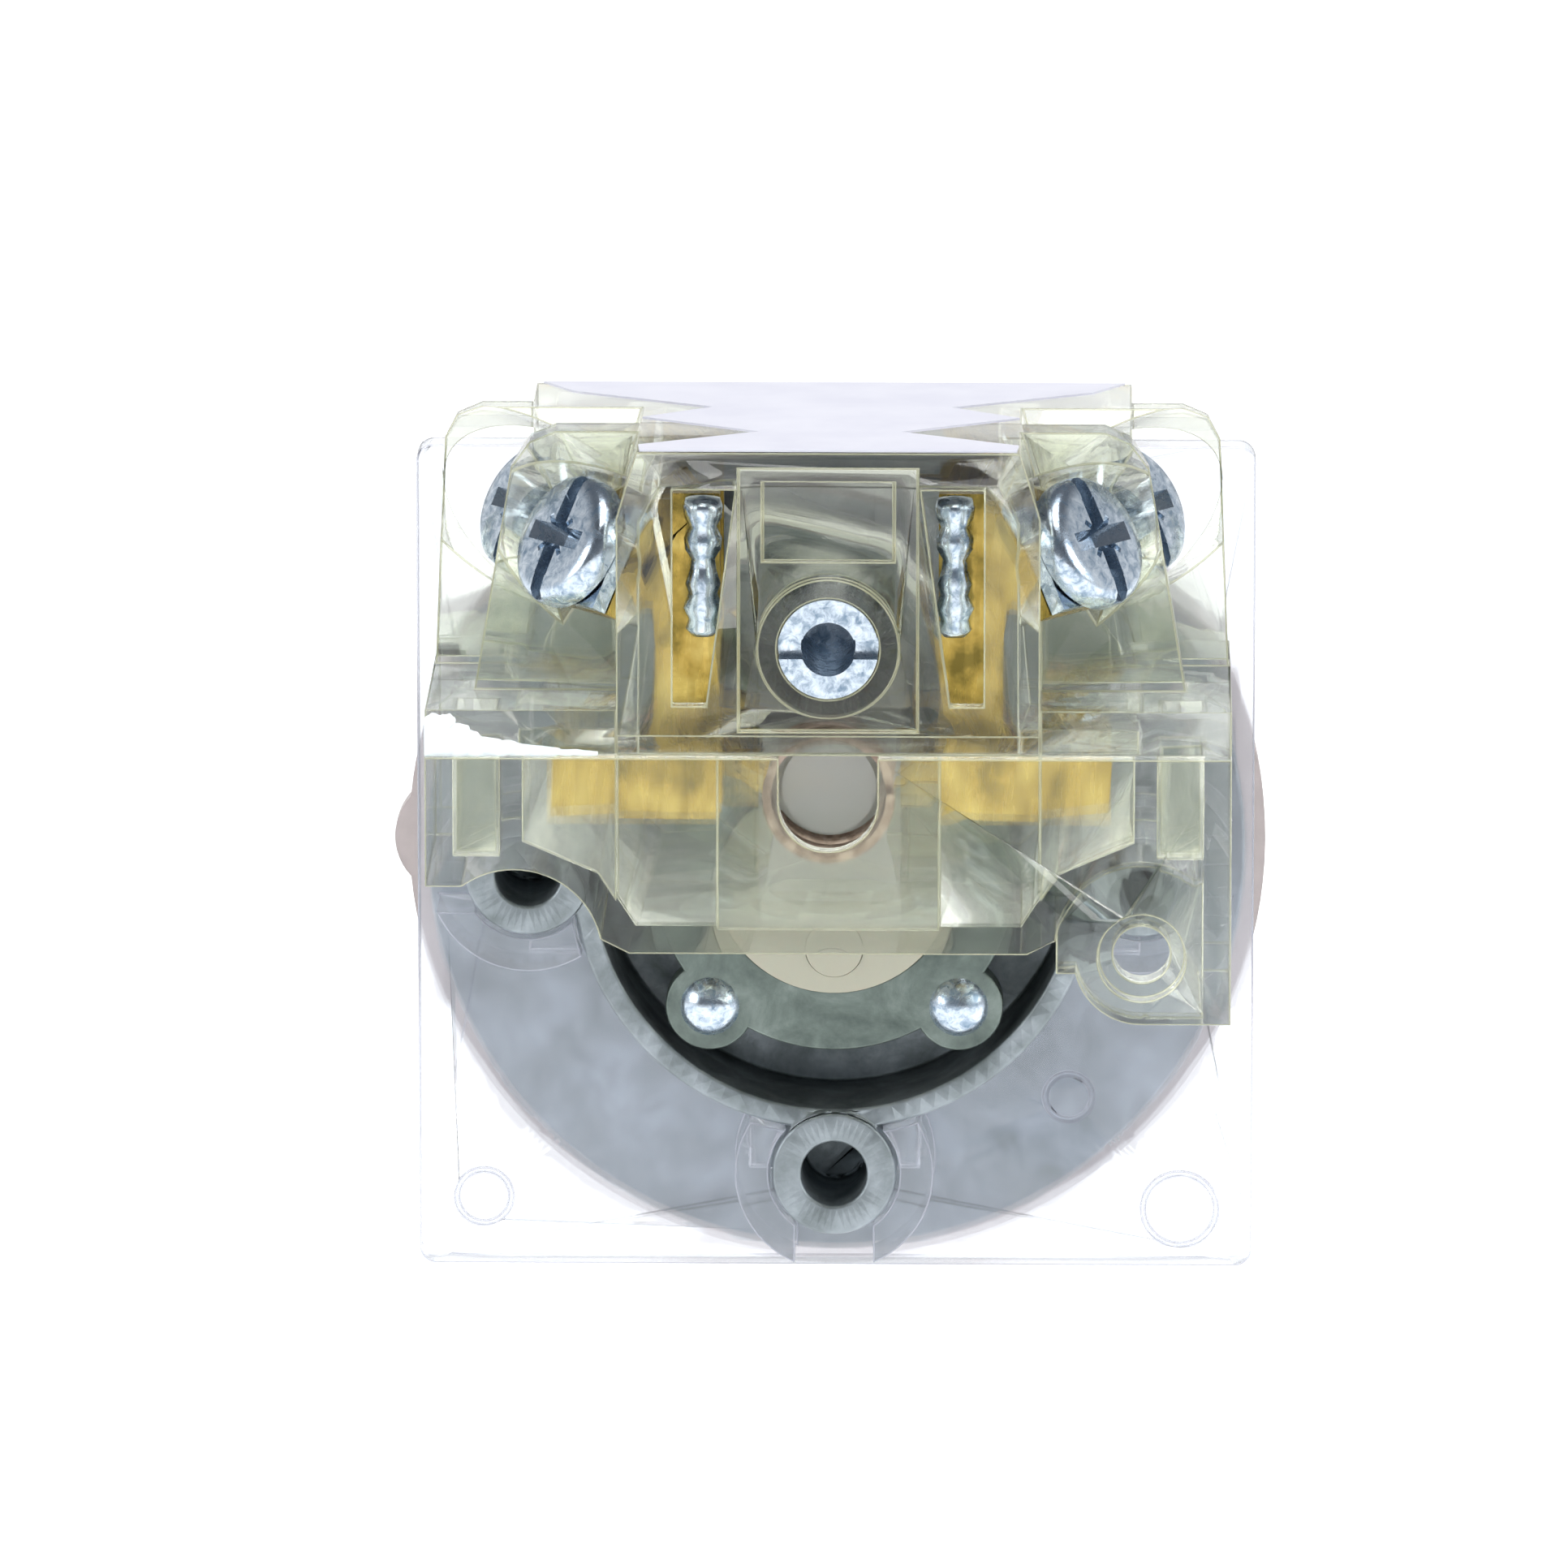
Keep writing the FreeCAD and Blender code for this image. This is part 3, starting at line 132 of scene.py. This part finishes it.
def clear_housing():
    """Polycarbonate, injection moulded in a polished tool: clear with a faint yellow-green cast."""
    made, tree, shader = material(
        "moulded_clear_polycarbonate", Base_Color=paint("#F4F8E8"), Roughness=0.03, IOR=1.5,
        Transmission_Weight=1.0, Alpha=0.64, Specular_IOR_Level=0.5)
    flow = grain(tree, 7.0, 2.0, stretch=(1, 1, 0.5))
    tree.links.new(range_of(tree, flow, 0.01, 0.05, 0.3, 0.7), shader.inputs["Roughness"])
    relief(tree, shader, flow, 0.03, 0.25)
    return made


def clear_guard():
    """Moulded polycarbonate plate, colourless, with a faintly frosted face that whitens what lies under."""
    made, tree, shader = material(
        "moulded_clear_guard", Base_Color=paint("#E9EDF6"), Roughness=0.16, IOR=1.5,
        Transmission_Weight=0.86, Alpha=0.62, Specular_IOR_Level=0.5)
    flow = grain(tree, 6.0, 2.0)
    tree.links.new(range_of(tree, flow, 0.1, 0.24, 0.3, 0.7), shader.inputs["Roughness"])
    relief(tree, shader, flow, 0.04, 0.3)
    return made


def painted_shade_rim(name, colour):
    """Rounded rim of a clear moulding, with a darker, less clear tint painted on: painted edge shade standing
    for light caught inside the wall coming out tinted.
    """
    made, tree, shader = material(name, Base_Color=paint(colour), Roughness=0.12, IOR=1.5,
                                  Transmission_Weight=0.55, Alpha=0.85)
    relief(tree, shader, grain(tree, 1.5, 2.0), 0.02, 0.4)
    return made


def clear_slider():
    """Polycarbonate moulding of the plunger, milky from its thickness."""
    made, tree, shader = material(
        "moulded_milky_plunger", Base_Color=paint("#E4E4E2"), Roughness=0.22, IOR=1.45,
        Transmission_Weight=0.55, Alpha=0.92, Specular_IOR_Level=0.5)
    relief(tree, shader, grain(tree, 1.2, 3.0), 0.01, 0.4)
    return made


def die_cast_zinc(name, dark, middle, light):
    """Zinc alloy as die-cast and chromated: dull grey-green with flow marks and a pebbled skin."""
    made, tree, shader = material(name, Metallic=0.8, Roughness=0.45)
    cloud = grain(tree, 3.0, 6.0, 0.62, distortion=0.4)
    fine = grain(tree, 0.3, 3.0, 0.6)
    tree.links.new(ramp(tree, cloud, (0.3, paint(dark)), (0.5, paint(middle)), (0.68, paint(light))),
                   shader.inputs["Base Color"])
    tree.links.new(range_of(tree, fine, 0.36, 0.52, 0.3, 0.7), shader.inputs["Roughness"])
    relief(tree, shader, fine, 0.02, 0.45)
    return made


def plated_zinc(name="zinc_plated_steel", tint="#B4C0CC", dark="#71869A"):
    """Steel, electroplated with bright zinc: bluish, spangled and faintly pitted."""
    made, tree, shader = material(name, Metallic=1.0, Roughness=0.25)
    spangle = grain(tree, 0.55, 4.0, 0.65, distortion=0.6)
    tree.links.new(ramp(tree, spangle, (0.3, paint(dark)), (0.52, paint(tint)), (0.75, paint("#D5DEE6"))),
                   shader.inputs["Base Color"])
    tree.links.new(range_of(tree, spangle, 0.34, 0.14, 0.35, 0.65), shader.inputs["Roughness"])
    relief(tree, shader, grain(tree, 0.3, 2.0), 0.012, 0.6)
    return made


def rolled_brass():
    """Brass strip, rolled and blanked: warm yellow with lengthwise rolling lines and darker tarnish."""
    made, tree, shader = material("rolled_brass", Metallic=1.0, Roughness=0.28)
    tarnish = grain(tree, 3.0, 4.0, 0.6)
    lines = grain(tree, 0.4, 2.0, 0.5, stretch=(1, 1, 0.12))
    tree.links.new(ramp(tree, tarnish, (0.35, paint("#6F6130")), (0.5, paint("#A68D48")),
                        (0.7, paint("#C4AD66"))),
                   shader.inputs["Base Color"])
    tree.links.new(range_of(tree, lines, 0.2, 0.38, 0.3, 0.7), shader.inputs["Roughness"])
    relief(tree, shader, lines, 0.003, 0.3)
    return made


def spring_wire():
    """Spring steel wire, drawn: grey-brown with a soft sheen along the wire."""
    made, tree, shader = material("drawn_spring_steel", Metallic=1.0, Roughness=0.3)
    tree.links.new(ramp(tree, grain(tree, 0.8, 3.0), (0.35, paint("#7C6C62")), (0.65, paint("#A8988D"))),
                   shader.inputs["Base Color"])
    return made


def bright_plate(name, low, high, rough=0.12):
    """Nickel or chrome over a machined blank: bright, with faint turning lines."""
    made, tree, shader = material(name, Metallic=1.0, Roughness=rough)
    tree.links.new(ramp(tree, grain(tree, 2.5, 3.0), (0.3, paint(low)), (0.7, paint(high))),
                   shader.inputs["Base Color"])
    wear = grain(tree, 0.5, 4.0, 0.6)
    tree.links.new(range_of(tree, wear, rough * 0.7, rough * 1.8, 0.35, 0.7), shader.inputs["Roughness"])
    relief(tree, shader, wear, 0.004, 0.4)
    return made


def rubber(name, colour, clear=0.0, rough=0.45):
    """Moulded elastomer: satin skin with a fine bloom."""
    made, tree, shader = material(name, Roughness=rough, IOR=1.42, Transmission_Weight=clear)
    bloom = grain(tree, 1.6, 4.0, 0.6)
    soft = paint(colour)
    tree.links.new(ramp(tree, bloom, (0.3, tuple(c * 0.88 for c in soft[:3]) + (1,)), (0.7, soft)),
                   shader.inputs["Base Color"])
    relief(tree, shader, grain(tree, 0.2, 2.0), 0.01, 0.4)
    return made


def moulded(name, colour, rough=0.38):
    """Thermoplastic moulding with a fine eroded texture."""
    made, tree, shader = material(name, Base_Color=paint(colour), Roughness=rough, IOR=1.49,
                                  Subsurface_Weight=0.1, Subsurface_Scale=0.6 * MM)
    relief(tree, shader, grain(tree, 0.12, 2.0), 0.006, 0.5)
    return made


def label_film():
    """Polyester film label with a lilac-white satin face."""
    made, tree, shader = material("polyester_label", Roughness=0.32, IOR=1.5, Coat_Weight=0.35,
                                  Coat_Roughness=0.12)
    tree.links.new(ramp(tree, grain(tree, 4.0, 3.0), (0.3, paint("#D3D3E2")), (0.7, paint("#DEDEEA"))),
                   shader.inputs["Base Color"])
    relief(tree, shader, grain(tree, 3.0, 2.0), 0.03, 0.4)
    return made


def silicone_bead():
    """White room-curing silicone, smeared by hand: matt and lumpy."""
    made, tree, shader = material("cured_silicone", Base_Color=paint("#F2F3F6"), Roughness=0.5, IOR=1.41,
                                  Subsurface_Weight=0.2, Subsurface_Scale=0.8 * MM)
    relief(tree, shader, grain(tree, 0.9, 4.0, 0.6), 0.12, 0.8)
    return made


HOUSING = clear_housing()
GUARD = clear_guard()
PLUNGER = clear_slider()
# Darker tinted finishes for the rounded rims of the clear mouldings: painted edge shade.
HOUSING_RIM_SHADE = painted_shade_rim("polycarbonate_housing_rim_painted_shade", "#C3C4A4")
GUARD_RIM_SHADE = painted_shade_rim("polycarbonate_guard_rim_painted_shade", "#C2C5D2")
CASTING = die_cast_zinc("die_cast_zinc_body", "#6A7274", "#838B8F", "#99A1A7")
# The retainer's copy is darker and greener than the body's: painted shade of the cup it sits in.
RETAINER_SHADED_ZINC = die_cast_zinc("die_cast_zinc_retainer_painted_shade", "#4F5955", "#66716C", "#7F8A85")
PLATED = plated_zinc()
BRASS = rolled_brass()
SPRING = spring_wire()
CHROME = bright_plate("chromed_bezel", "#C9CCCE", "#E6E8E9", 0.08)
NICKEL = bright_plate("nickel_plated_key", "#B9B4A6", "#D5D1C5", 0.16)
LOCK_BRASS = bright_plate("turned_lock_brass", "#B8A05A", "#D6C27E", 0.18)
SILVER = bright_plate("contact_silver", "#C9B9AC", "#DAD0C8", 0.22)
COPPER = bright_plate("copper_rivet", "#C98A6C", "#E0A98C", 0.2)
GASKET = rubber("silicone_gasket", "#D0C5C3", 0.35)
SEAL = rubber("black_nitrile", "#1E1F20", 0.0, 0.4)
CREAM = moulded("cream_acetal", "#A9A898")
CAM = moulded("acetal_cam", "#B9BAA8")
LABEL = label_film()
BEAD = silicone_bead()

FINISHES = {
    "operator_body": CASTING, "retainer": RETAINER_SHADED_ZINC, "retainer_rivets": PLATED, "pusher_guide": CREAM,
    "panel_gasket": GASKET, "thrust_washer": PLATED, "ring_nut": PLATED, "guard_plate": GUARD,
    "lock_shell": CHROME, "lock_seal": SEAL, "bezel": CHROME, "lock_plug": LOCK_BRASS,
    "tumbler_wafers": LOCK_BRASS, "wafer_springs": SPRING, "key": NICKEL, "selector_cam": CAM,
    "wave_washer": SPRING, "upper_push_pin": CREAM, "lower_push_pin": CREAM, "block_cover": HOUSING,
    "block_base": HOUSING, "mounting_tube": PLATED, "block_label": LABEL, "sealant_bead": BEAD,
    "plunger": PLUNGER, "return_spring": SPRING, "no_spring": SPRING, "nc_spring": SPRING,
    "no_bridge": BRASS, "nc_bridge": BRASS, "terminal_pillars": PLATED}
for corner in ("rear_left", "rear_right", "front_left", "front_right"):
    FINISHES.update({f"terminal_{corner}": BRASS, f"screw_{corner}": PLATED, f"clamp_{corner}": PLATED})
for node, finish in FINISHES.items():
    mesh = NODES[node].data
    mesh.materials.clear()
    mesh.materials.append(finish)


# ---- pieces ----------------------------------------------------------------------------------------------
def eased(node, edge_mm, rim=None, segments=2, angle=32):
    """Stands for a CAD node with the same solid, merged, whose sharp edges are rounded to edge_mm.

    Flat faces stay flat and only faces of curved walls are smoothed; the rounded edges may take a rim finish,
    which for the clear mouldings is painted edge shade.
    """
    shape = bmesh.new()
    shape.from_mesh(NODES[node].data)
    bmesh.ops.remove_doubles(shape, verts=shape.verts, dist=0.002 * MM)
    bmesh.ops.dissolve_degenerate(shape, edges=shape.edges, dist=0.002 * MM)
    curved = (math.radians(0.5), math.radians(angle))
    for face in shape.faces:
        face.smooth = any(curved[0] < edge.calc_face_angle(0.0) < curved[1] for edge in face.edges)
    mesh = bpy.data.meshes.new(node + "_eased")
    shape.to_mesh(mesh)
    shape.free()
    piece = bpy.data.objects.new(node + "_eased", mesh)
    bpy.context.scene.collection.objects.link(piece)
    mesh.materials.append(FINISHES[node])
    if rim:
        mesh.materials.append(rim)
    mesh.set_sharp_from_angle(angle=math.radians(angle))
    bevel = piece.modifiers.new("Edges", "BEVEL")
    bevel.width = edge_mm * MM
    bevel.segments = segments
    bevel.limit_method = "ANGLE"
    bevel.angle_limit = math.radians(angle)
    bevel.use_clamp_overlap = False
    bevel.harden_normals = True
    # The rounded edges take the rim finish; on the clear mouldings this is painted edge shade.
    if rim:
        bevel.material = 1
    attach(piece, HOME[node])
    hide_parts(node)
    return piece


def tipped(piece, finish, places, radius_mm):
    """Gives another finish to a piece's riveted tips: the faces wholly near one of the (X, Z) places."""
    piece.data.materials.append(finish)
    index = len(piece.data.materials) - 1
    for face in piece.data.polygons:
        corners = [piece.data.vertices[at].co / MM for at in face.vertices]
        if any(all((Vector((spot.x, spot.z)) - Vector(place)).length < radius_mm for spot in corners)
               for place in places):
            face.material_index = index


# The housing and guard rims take the darker tinted rim finish, which is painted edge shade.
for node, edge, rim in (("block_cover", 0.1, HOUSING_RIM_SHADE), ("block_base", 0.1, HOUSING_RIM_SHADE),
                        ("guard_plate", 0.1, GUARD_RIM_SHADE), ("operator_body", 0.2, None), ("retainer", 0.15, None),
                        ("ring_nut", 0.15, None), ("bezel", 0.1, None), ("lock_shell", 0.1, None),
                        ("key", 0.12, None)):
    eased(node, edge, rim)
TIP_PLACES = ((-10.6, 8.6), (10.6, 8.6))
for corner in ("rear_left", "rear_right", "front_left", "front_right"):
    tipped(eased("terminal_" + corner, 0.06), COPPER, TIP_PLACES, 1.7)
for node in ("no_bridge", "nc_bridge"):
    tipped(eased(node, 0.05), SILVER, TIP_PLACES, 1.4)


def finished(name, shape, body, *finishes, smooth=35, replaces=()):
    """Turns a bmesh into a piece that rides on a body, with its surfaces facing outwards."""
    bmesh.ops.remove_doubles(shape, verts=shape.verts, dist=0.001 * MM)
    bmesh.ops.recalc_face_normals(shape, faces=shape.faces)
    mesh = bpy.data.meshes.new(name)
    shape.to_mesh(mesh)
    shape.free()
    for finish in finishes:
        mesh.materials.append(finish)
    for face in mesh.polygons:
        face.use_smooth = True
    mesh.set_sharp_from_angle(angle=math.radians(smooth))
    piece = bpy.data.objects.new(name, mesh)
    bpy.context.scene.collection.objects.link(piece)
    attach(piece, body)
    if replaces:
        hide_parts(*replaces)
    return piece


def turn_profile(shape, profile, steps=48):
    """Spins (radius, height) corners about Z into a closed skin; corners are in millimetres."""
    verts = [shape.verts.new((r * MM, 0, h * MM)) for r, h in profile]
    edges = [shape.edges.new(pair) for pair in zip(verts, verts[1:])]
    bmesh.ops.spin(shape, geom=verts + edges, cent=(0, 0, 0), axis=(0, 0, 1), angle=math.tau, steps=steps,
                   use_merge=True)


def facing(place, out, along):
    """Frame with Z along out and Y near along, at place."""
    z = Vector(out).normalized()
    x = Vector(along).cross(z).normalized()
    return Matrix.Translation(place) @ Matrix((x, z.cross(x), z)).transposed().to_4x4()


def wound(name, body, radius, wire, start, end, turns, centre, replaces, dead=0.8):
    """Coil spring along Y, with closed end turns, from y = start to y = end in millimetres."""
    shape = bmesh.new()
    ring = bmesh.ops.create_circle(shape, segments=10, radius=wire / 2 * MM)["verts"]
    bmesh.ops.rotate(shape, verts=ring, cent=(0, 0, 0), matrix=Matrix.Rotation(math.pi / 2, 3, "X"))
    bmesh.ops.translate(shape, verts=ring, vec=(radius * MM, 0, 0))
    total = turns + 2 * dead
    steps = int(total * 28)
    length = end - start - wire * 1.05
    rise = [0.0]
    for i in range(steps):
        t = (i + 0.5) / steps * total
        slow = min(1.0, 0.12 + max(0.0, min(t, total - t) - dead * 0.5) * 1.2)
        rise.append(rise[-1] + slow)
    angle = math.tau * total / steps
    edges = [e for e in shape.edges]
    for i in range(steps):
        made = bmesh.ops.extrude_edge_only(shape, edges=edges)["geom"]
        verts = [g for g in made if isinstance(g, bmesh.types.BMVert)]
        edges = [g for g in made if isinstance(g, bmesh.types.BMEdge)]
        bmesh.ops.rotate(shape, verts=verts, cent=(0, 0, 0), matrix=Matrix.Rotation(angle, 3, "Y"))
        bmesh.ops.translate(shape, verts=verts, vec=(0, (rise[i + 1] - rise[i]) / rise[-1] * length * MM, 0))
    bmesh.ops.holes_fill(shape, edges=[e for e in shape.edges if e.is_boundary], sides=12)
    bmesh.ops.translate(shape, verts=shape.verts,
                        vec=(centre[0] * MM, (start + wire * 0.525) * MM, centre[1] * MM))
    return finished(name, shape, body, SPRING, smooth=80, replaces=replaces)


def span_of(node):
    """Centre (X, Z), Y limits and width of a CAD node, in millimetres."""
    low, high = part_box(node)
    centre = ((low[0] + high[0]) / 2 / MM, (low[2] + high[2]) / 2 / MM)
    return centre, low[1] / MM, high[1] / MM, (high[0] - low[0]) / MM


def springs():
    """Return spring and the two contact-pressure springs; the last of the values is how far each is pressed."""
    for node, wire, turns, pressed_by in (("return_spring", 0.5, 3.2, 3.2), ("no_spring", 0.36, 2.0, 1.0),
                                          ("nc_spring", 0.36, 1.6, 0.0)):
        centre, low, high, width = span_of(node)
        piece = wound(node + "_wound", "operator" if node == "return_spring" else "slider",
                      (width - wire) / 2, wire, low, high, turns, centre, (node,), dead=0.6)
        if pressed_by:
            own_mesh(piece)


def wedge(shape, top, bottom, depth, turn=0.0):
    """Block sunk from z = 0 whose (length, width) shrinks from top to bottom, turned about Z."""
    verts = bmesh.ops.create_cube(shape, size=1.0)["verts"]
    for vert in verts:
        length, width = (top if vert.co.z > 0 else bottom)
        vert.co = Vector((vert.co.x * length, vert.co.y * width, 0.2 if vert.co.z > 0 else -depth)) * MM
    bmesh.ops.rotate(shape, verts=verts, cent=(0, 0, 0), matrix=Matrix.Rotation(math.radians(turn), 3, "Z"))


def screw_recess():
    """Cutters of a combination recess: a cross with leaning walls, a straight slot and four short ticks."""
    cutters = []
    for top, bottom, depth, turn in (((5.0, 1.15), (2.2, 0.55), 1.6, 0), ((5.0, 1.15), (2.2, 0.55), 1.6, 90),
                                     ((9.0, 1.0), (8.4, 0.85), 0.75, 0), ((3.1, 0.4), (2.4, 0.15), 0.5, 45),
                                     ((3.1, 0.4), (2.4, 0.15), 0.5, 135)):
        cutter = bmesh.new()
        wedge(cutter, top, bottom, depth, turn=turn)
        cutters.append(cutter)
    return cutters


def pressed(shape, cutters):
    """The shape with each cutter taken out of it."""
    bmesh.ops.remove_doubles(shape, verts=shape.verts, dist=0.001 * MM)
    bmesh.ops.recalc_face_normals(shape, faces=shape.faces)
    blank = bpy.data.objects.new("blank", bpy.data.meshes.new("blank"))
    shape.to_mesh(blank.data)
    shape.free()
    bpy.context.scene.collection.objects.link(blank)
    tools = []
    for cutter in cutters:
        bmesh.ops.recalc_face_normals(cutter, faces=cutter.faces)
        tool = bpy.data.objects.new("tool", bpy.data.meshes.new("tool"))
        cutter.to_mesh(tool.data)
        cutter.free()
        bpy.context.scene.collection.objects.link(tool)
        cut = blank.modifiers.new("Cut", "BOOLEAN")
        cut.operation = "DIFFERENCE"
        cut.solver = "EXACT"
        cut.object = tool
        tools.append(tool)
    result = bmesh.new()
    result.from_object(blank, bpy.context.evaluated_depsgraph_get())
    for item in [blank] + tools:
        bpy.data.objects.remove(item)
    return result


def terminal_screws():
    """Cheese-head screws with rounded rims and a combined cross and slot recess."""
    for corner in ("rear_left", "rear_right", "front_left", "front_right"):
        side = -1 if corner.endswith("left") else 1
        rise, splay = math.radians(27.0), math.radians(35.6)
        flat = math.cos(rise)
        out = Vector((side * flat * math.cos(splay), -flat * math.sin(splay), math.sin(rise)))
        along = Vector((side * math.sin(splay), math.cos(splay), 0))
        x, place = (15.0, 3.5) if corner.startswith("rear") else (17.4, 13.2)
        head = Vector((side * x, -34.0 + place, 22.9)) * MM
        shape = bmesh.new()
        turn_profile(shape, [(0, -7.2), (1.3, -7.2), (1.66, -6.8), (1.66, -1.9), (3.45, -1.9), (3.7, -1.65),
                             (3.74, -1.0), (3.6, -0.45), (3.25, -0.14), (2.6, -0.03), (1.2, 0.0), (0, 0.0)], 56)
        shape = pressed(shape, screw_recess())
        bmesh.ops.transform(shape, matrix=facing(head, out, along), verts=shape.verts)
        finished("screw_" + corner + "_head", shape, "wire_screw_" + corner, PLATED,
                 replaces=("screw_" + corner,))


# ---- studio ----------------------------------------------------------------------------------------------
def sealant_smear():
    """Silicone dabbed along the left end of the parting line: lumps that run into each other and thin out."""
    low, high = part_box("sealant_bead")
    shape = bmesh.new()
    dabs = ((0.03, 0.30, 0.5, 0.3), (0.1, 0.28, 0.6, 0.26), (0.2, 0.24, 0.62, 0.22), (0.31, 0.2, 0.6, 0.2),
            (0.06, 0.66, 0.3, 0.26), (0.13, 0.8, 0.2, 0.14), (0.19, 0.56, 0.3, 0.16), (0.26, 0.4, 0.3, 0.16),
            (0.43, 0.18, 0.6, 0.15), (0.56, 0.14, 0.6, 0.11), (0.69, 0.11, 0.5, 0.09), (0.82, 0.09, 0.5, 0.06),
            (0.93, 0.07, 0.4, 0.05))
    size = high - low
    for i, (x, z, reach, tall) in enumerate(dabs):
        ball = bmesh.ops.create_icosphere(shape, subdivisions=3, radius=1.0)["verts"]
        for vert in ball:
            ripple = 1 + 0.12 * math.sin(7 * vert.co.x + 3 * i) * math.cos(5 * vert.co.z + i)
            spot = Vector((vert.co.x * reach * 0.26 * size.x, vert.co.y * size.y * 0.46,
                           vert.co.z * tall * 1.3 * size.z)) * ripple
            spot += low + Vector((x * size.x, size.y / 2, z * size.z))
            vert.co = Vector(min(max(spot[k], low[k]), high[k]) for k in range(3))
    finished("sealant_smear", shape, "operator", BEAD, smooth=60, replaces=("sealant_bead",))


def rivet_columns():
    """Upset ends of the two riser rivets: zinc-plated columns squeezed into uneven bulges."""
    low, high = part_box("terminal_pillars")
    tall = (high.z - low.z) / MM
    widest = (high.y - low.y) / MM / 2
    bulges = ((0, 0.0), (0.55, 0.0), (0.85, 0.05), (0.7, 0.12), (0.98, 0.2), (0.72, 0.3), (0.88, 0.37),
              (0.66, 0.47), (0.6, 0.55), (0.9, 0.62), (0.94, 0.7), (0.68, 0.78), (0.92, 0.84), (1.0, 0.92),
              (0.85, 0.98), (0, 1.0))
    shape = bmesh.new()
    for side in (-1, 1):
        column = bmesh.new()
        turn_profile(column, [(r * widest * 0.97, z * tall) for r, z in bulges], 28)
        bmesh.ops.transform(column, matrix=Matrix.Translation((side * 6.9 * MM, (low.y + high.y) / 2, low.z))
                            @ Matrix.Rotation(side * 0.9, 4, "Z"), verts=column.verts)
        spare = bpy.data.meshes.new("column")
        column.to_mesh(spare)
        column.free()
        shape.from_mesh(spare)
    finished("rivet_columns", shape, "operator", PLATED, smooth=70, replaces=("terminal_pillars",))


springs()
terminal_screws()
sealant_smear()
rivet_columns()


def studio():
    """Pale floor, white surroundings a little darker overhead, and three soft lights."""
    shape = bmesh.new()
    bmesh.ops.create_grid(shape, x_segments=1, y_segments=1, size=6.0)
    bmesh.ops.translate(shape, verts=shape.verts, vec=(0, 0, -0.075))
    mesh = bpy.data.meshes.new("floor")
    shape.to_mesh(mesh)
    shape.free()
    floor = bpy.data.objects.new("floor", mesh)
    bpy.context.scene.collection.objects.link(floor)
    made, _, _ = material("matt_white_paper", Base_Color=paint("#FAFAFA"), Roughness=0.9,
                          Emission_Color=paint("#FFFFFF"), Emission_Strength=0.75)
    mesh.materials.append(made)

    world = bpy.data.worlds.new("studio")
    bpy.context.scene.world = world
    world.use_nodes = True
    tree = world.node_tree
    tree.nodes.clear()
    where = add(tree, "TexCoord").outputs["Generated"]
    split = add(tree, "SeparateXYZ", {"Vector": where}).outputs
    sky = ramp(tree, split["Z"], (0.0, paint("#FFFFFF")), (0.3, paint("#F4F5F7")), (0.75, paint("#70757C")))
    room = ramp(tree, range_of(tree, split["Y"], 0.0, 1.0, -1.0, 1.0), (0.1, paint("#7C8086")),
                (0.5, paint("#FFFFFF")))
    lit = add(tree, "Mix", {"Factor": 1.0}, data_type="RGBA", blend_type="MULTIPLY")
    tree.links.new(sky, lit.inputs["A"])
    tree.links.new(room, lit.inputs["B"])
    around = add(tree, "Background", {"Color": lit.outputs["Result"], "Strength": 1.0}).outputs["Background"]
    seen = add(tree, "Background", {"Color": paint("#FFFFFF"), "Strength": 1.0}).outputs["Background"]
    direct = add(tree, "LightPath").outputs["Is Camera Ray"]
    both = add(tree, "MixShader", {0: direct, 1: around, 2: seen}).outputs["Shader"]
    add(tree, "OutputWorld", {"Surface": both})

    for name, place, size, power in (("overhead", (0.05, -0.25, 0.75), 0.45, 5.0),
                                     ("left", (-0.7, -0.45, 0.25), 0.35, 2.5),
                                     ("right", (0.7, -0.4, 0.3), 0.35, 2.5)):
        lamp = bpy.data.lights.new(name, "AREA")
        lamp.shape = "SQUARE"
        lamp.size = size
        lamp.energy = power
        item = bpy.data.objects.new(name, lamp)
        item.location = place
        item.rotation_mode = "QUATERNION"
        item.rotation_quaternion = (Vector((0, -0.015, 0)) - Vector(place)).to_track_quat("-Z", "Y")
        bpy.context.scene.collection.objects.link(item)


def camera():
    """Long lens from behind the panel, a little above the axis."""
    azimuth, elevation, distance = math.radians(1.08), math.radians(11.5), 0.9
    back = Vector((math.sin(azimuth) * math.cos(elevation), -math.cos(azimuth) * math.cos(elevation),
                   math.sin(elevation)))
    data = bpy.data.cameras.new("camera")
    data.lens = 377.7
    data.sensor_width = 36.0
    item = bpy.data.objects.new("camera", data)
    item.location = Vector((-2.4 * MM, -34.0 * MM, 9.7 * MM)) + back * distance
    item.rotation_mode = "QUATERNION"
    item.rotation_quaternion = (-back).to_track_quat("-Z", "Y")
    bpy.context.scene.collection.objects.link(item)
    bpy.context.scene.camera = item


studio()
camera()
scene = bpy.context.scene
scene.view_settings.view_transform = "Standard"
scene.cycles.max_bounces = 24
scene.cycles.transmission_bounces = 20
scene.cycles.transparent_max_bounces = 32
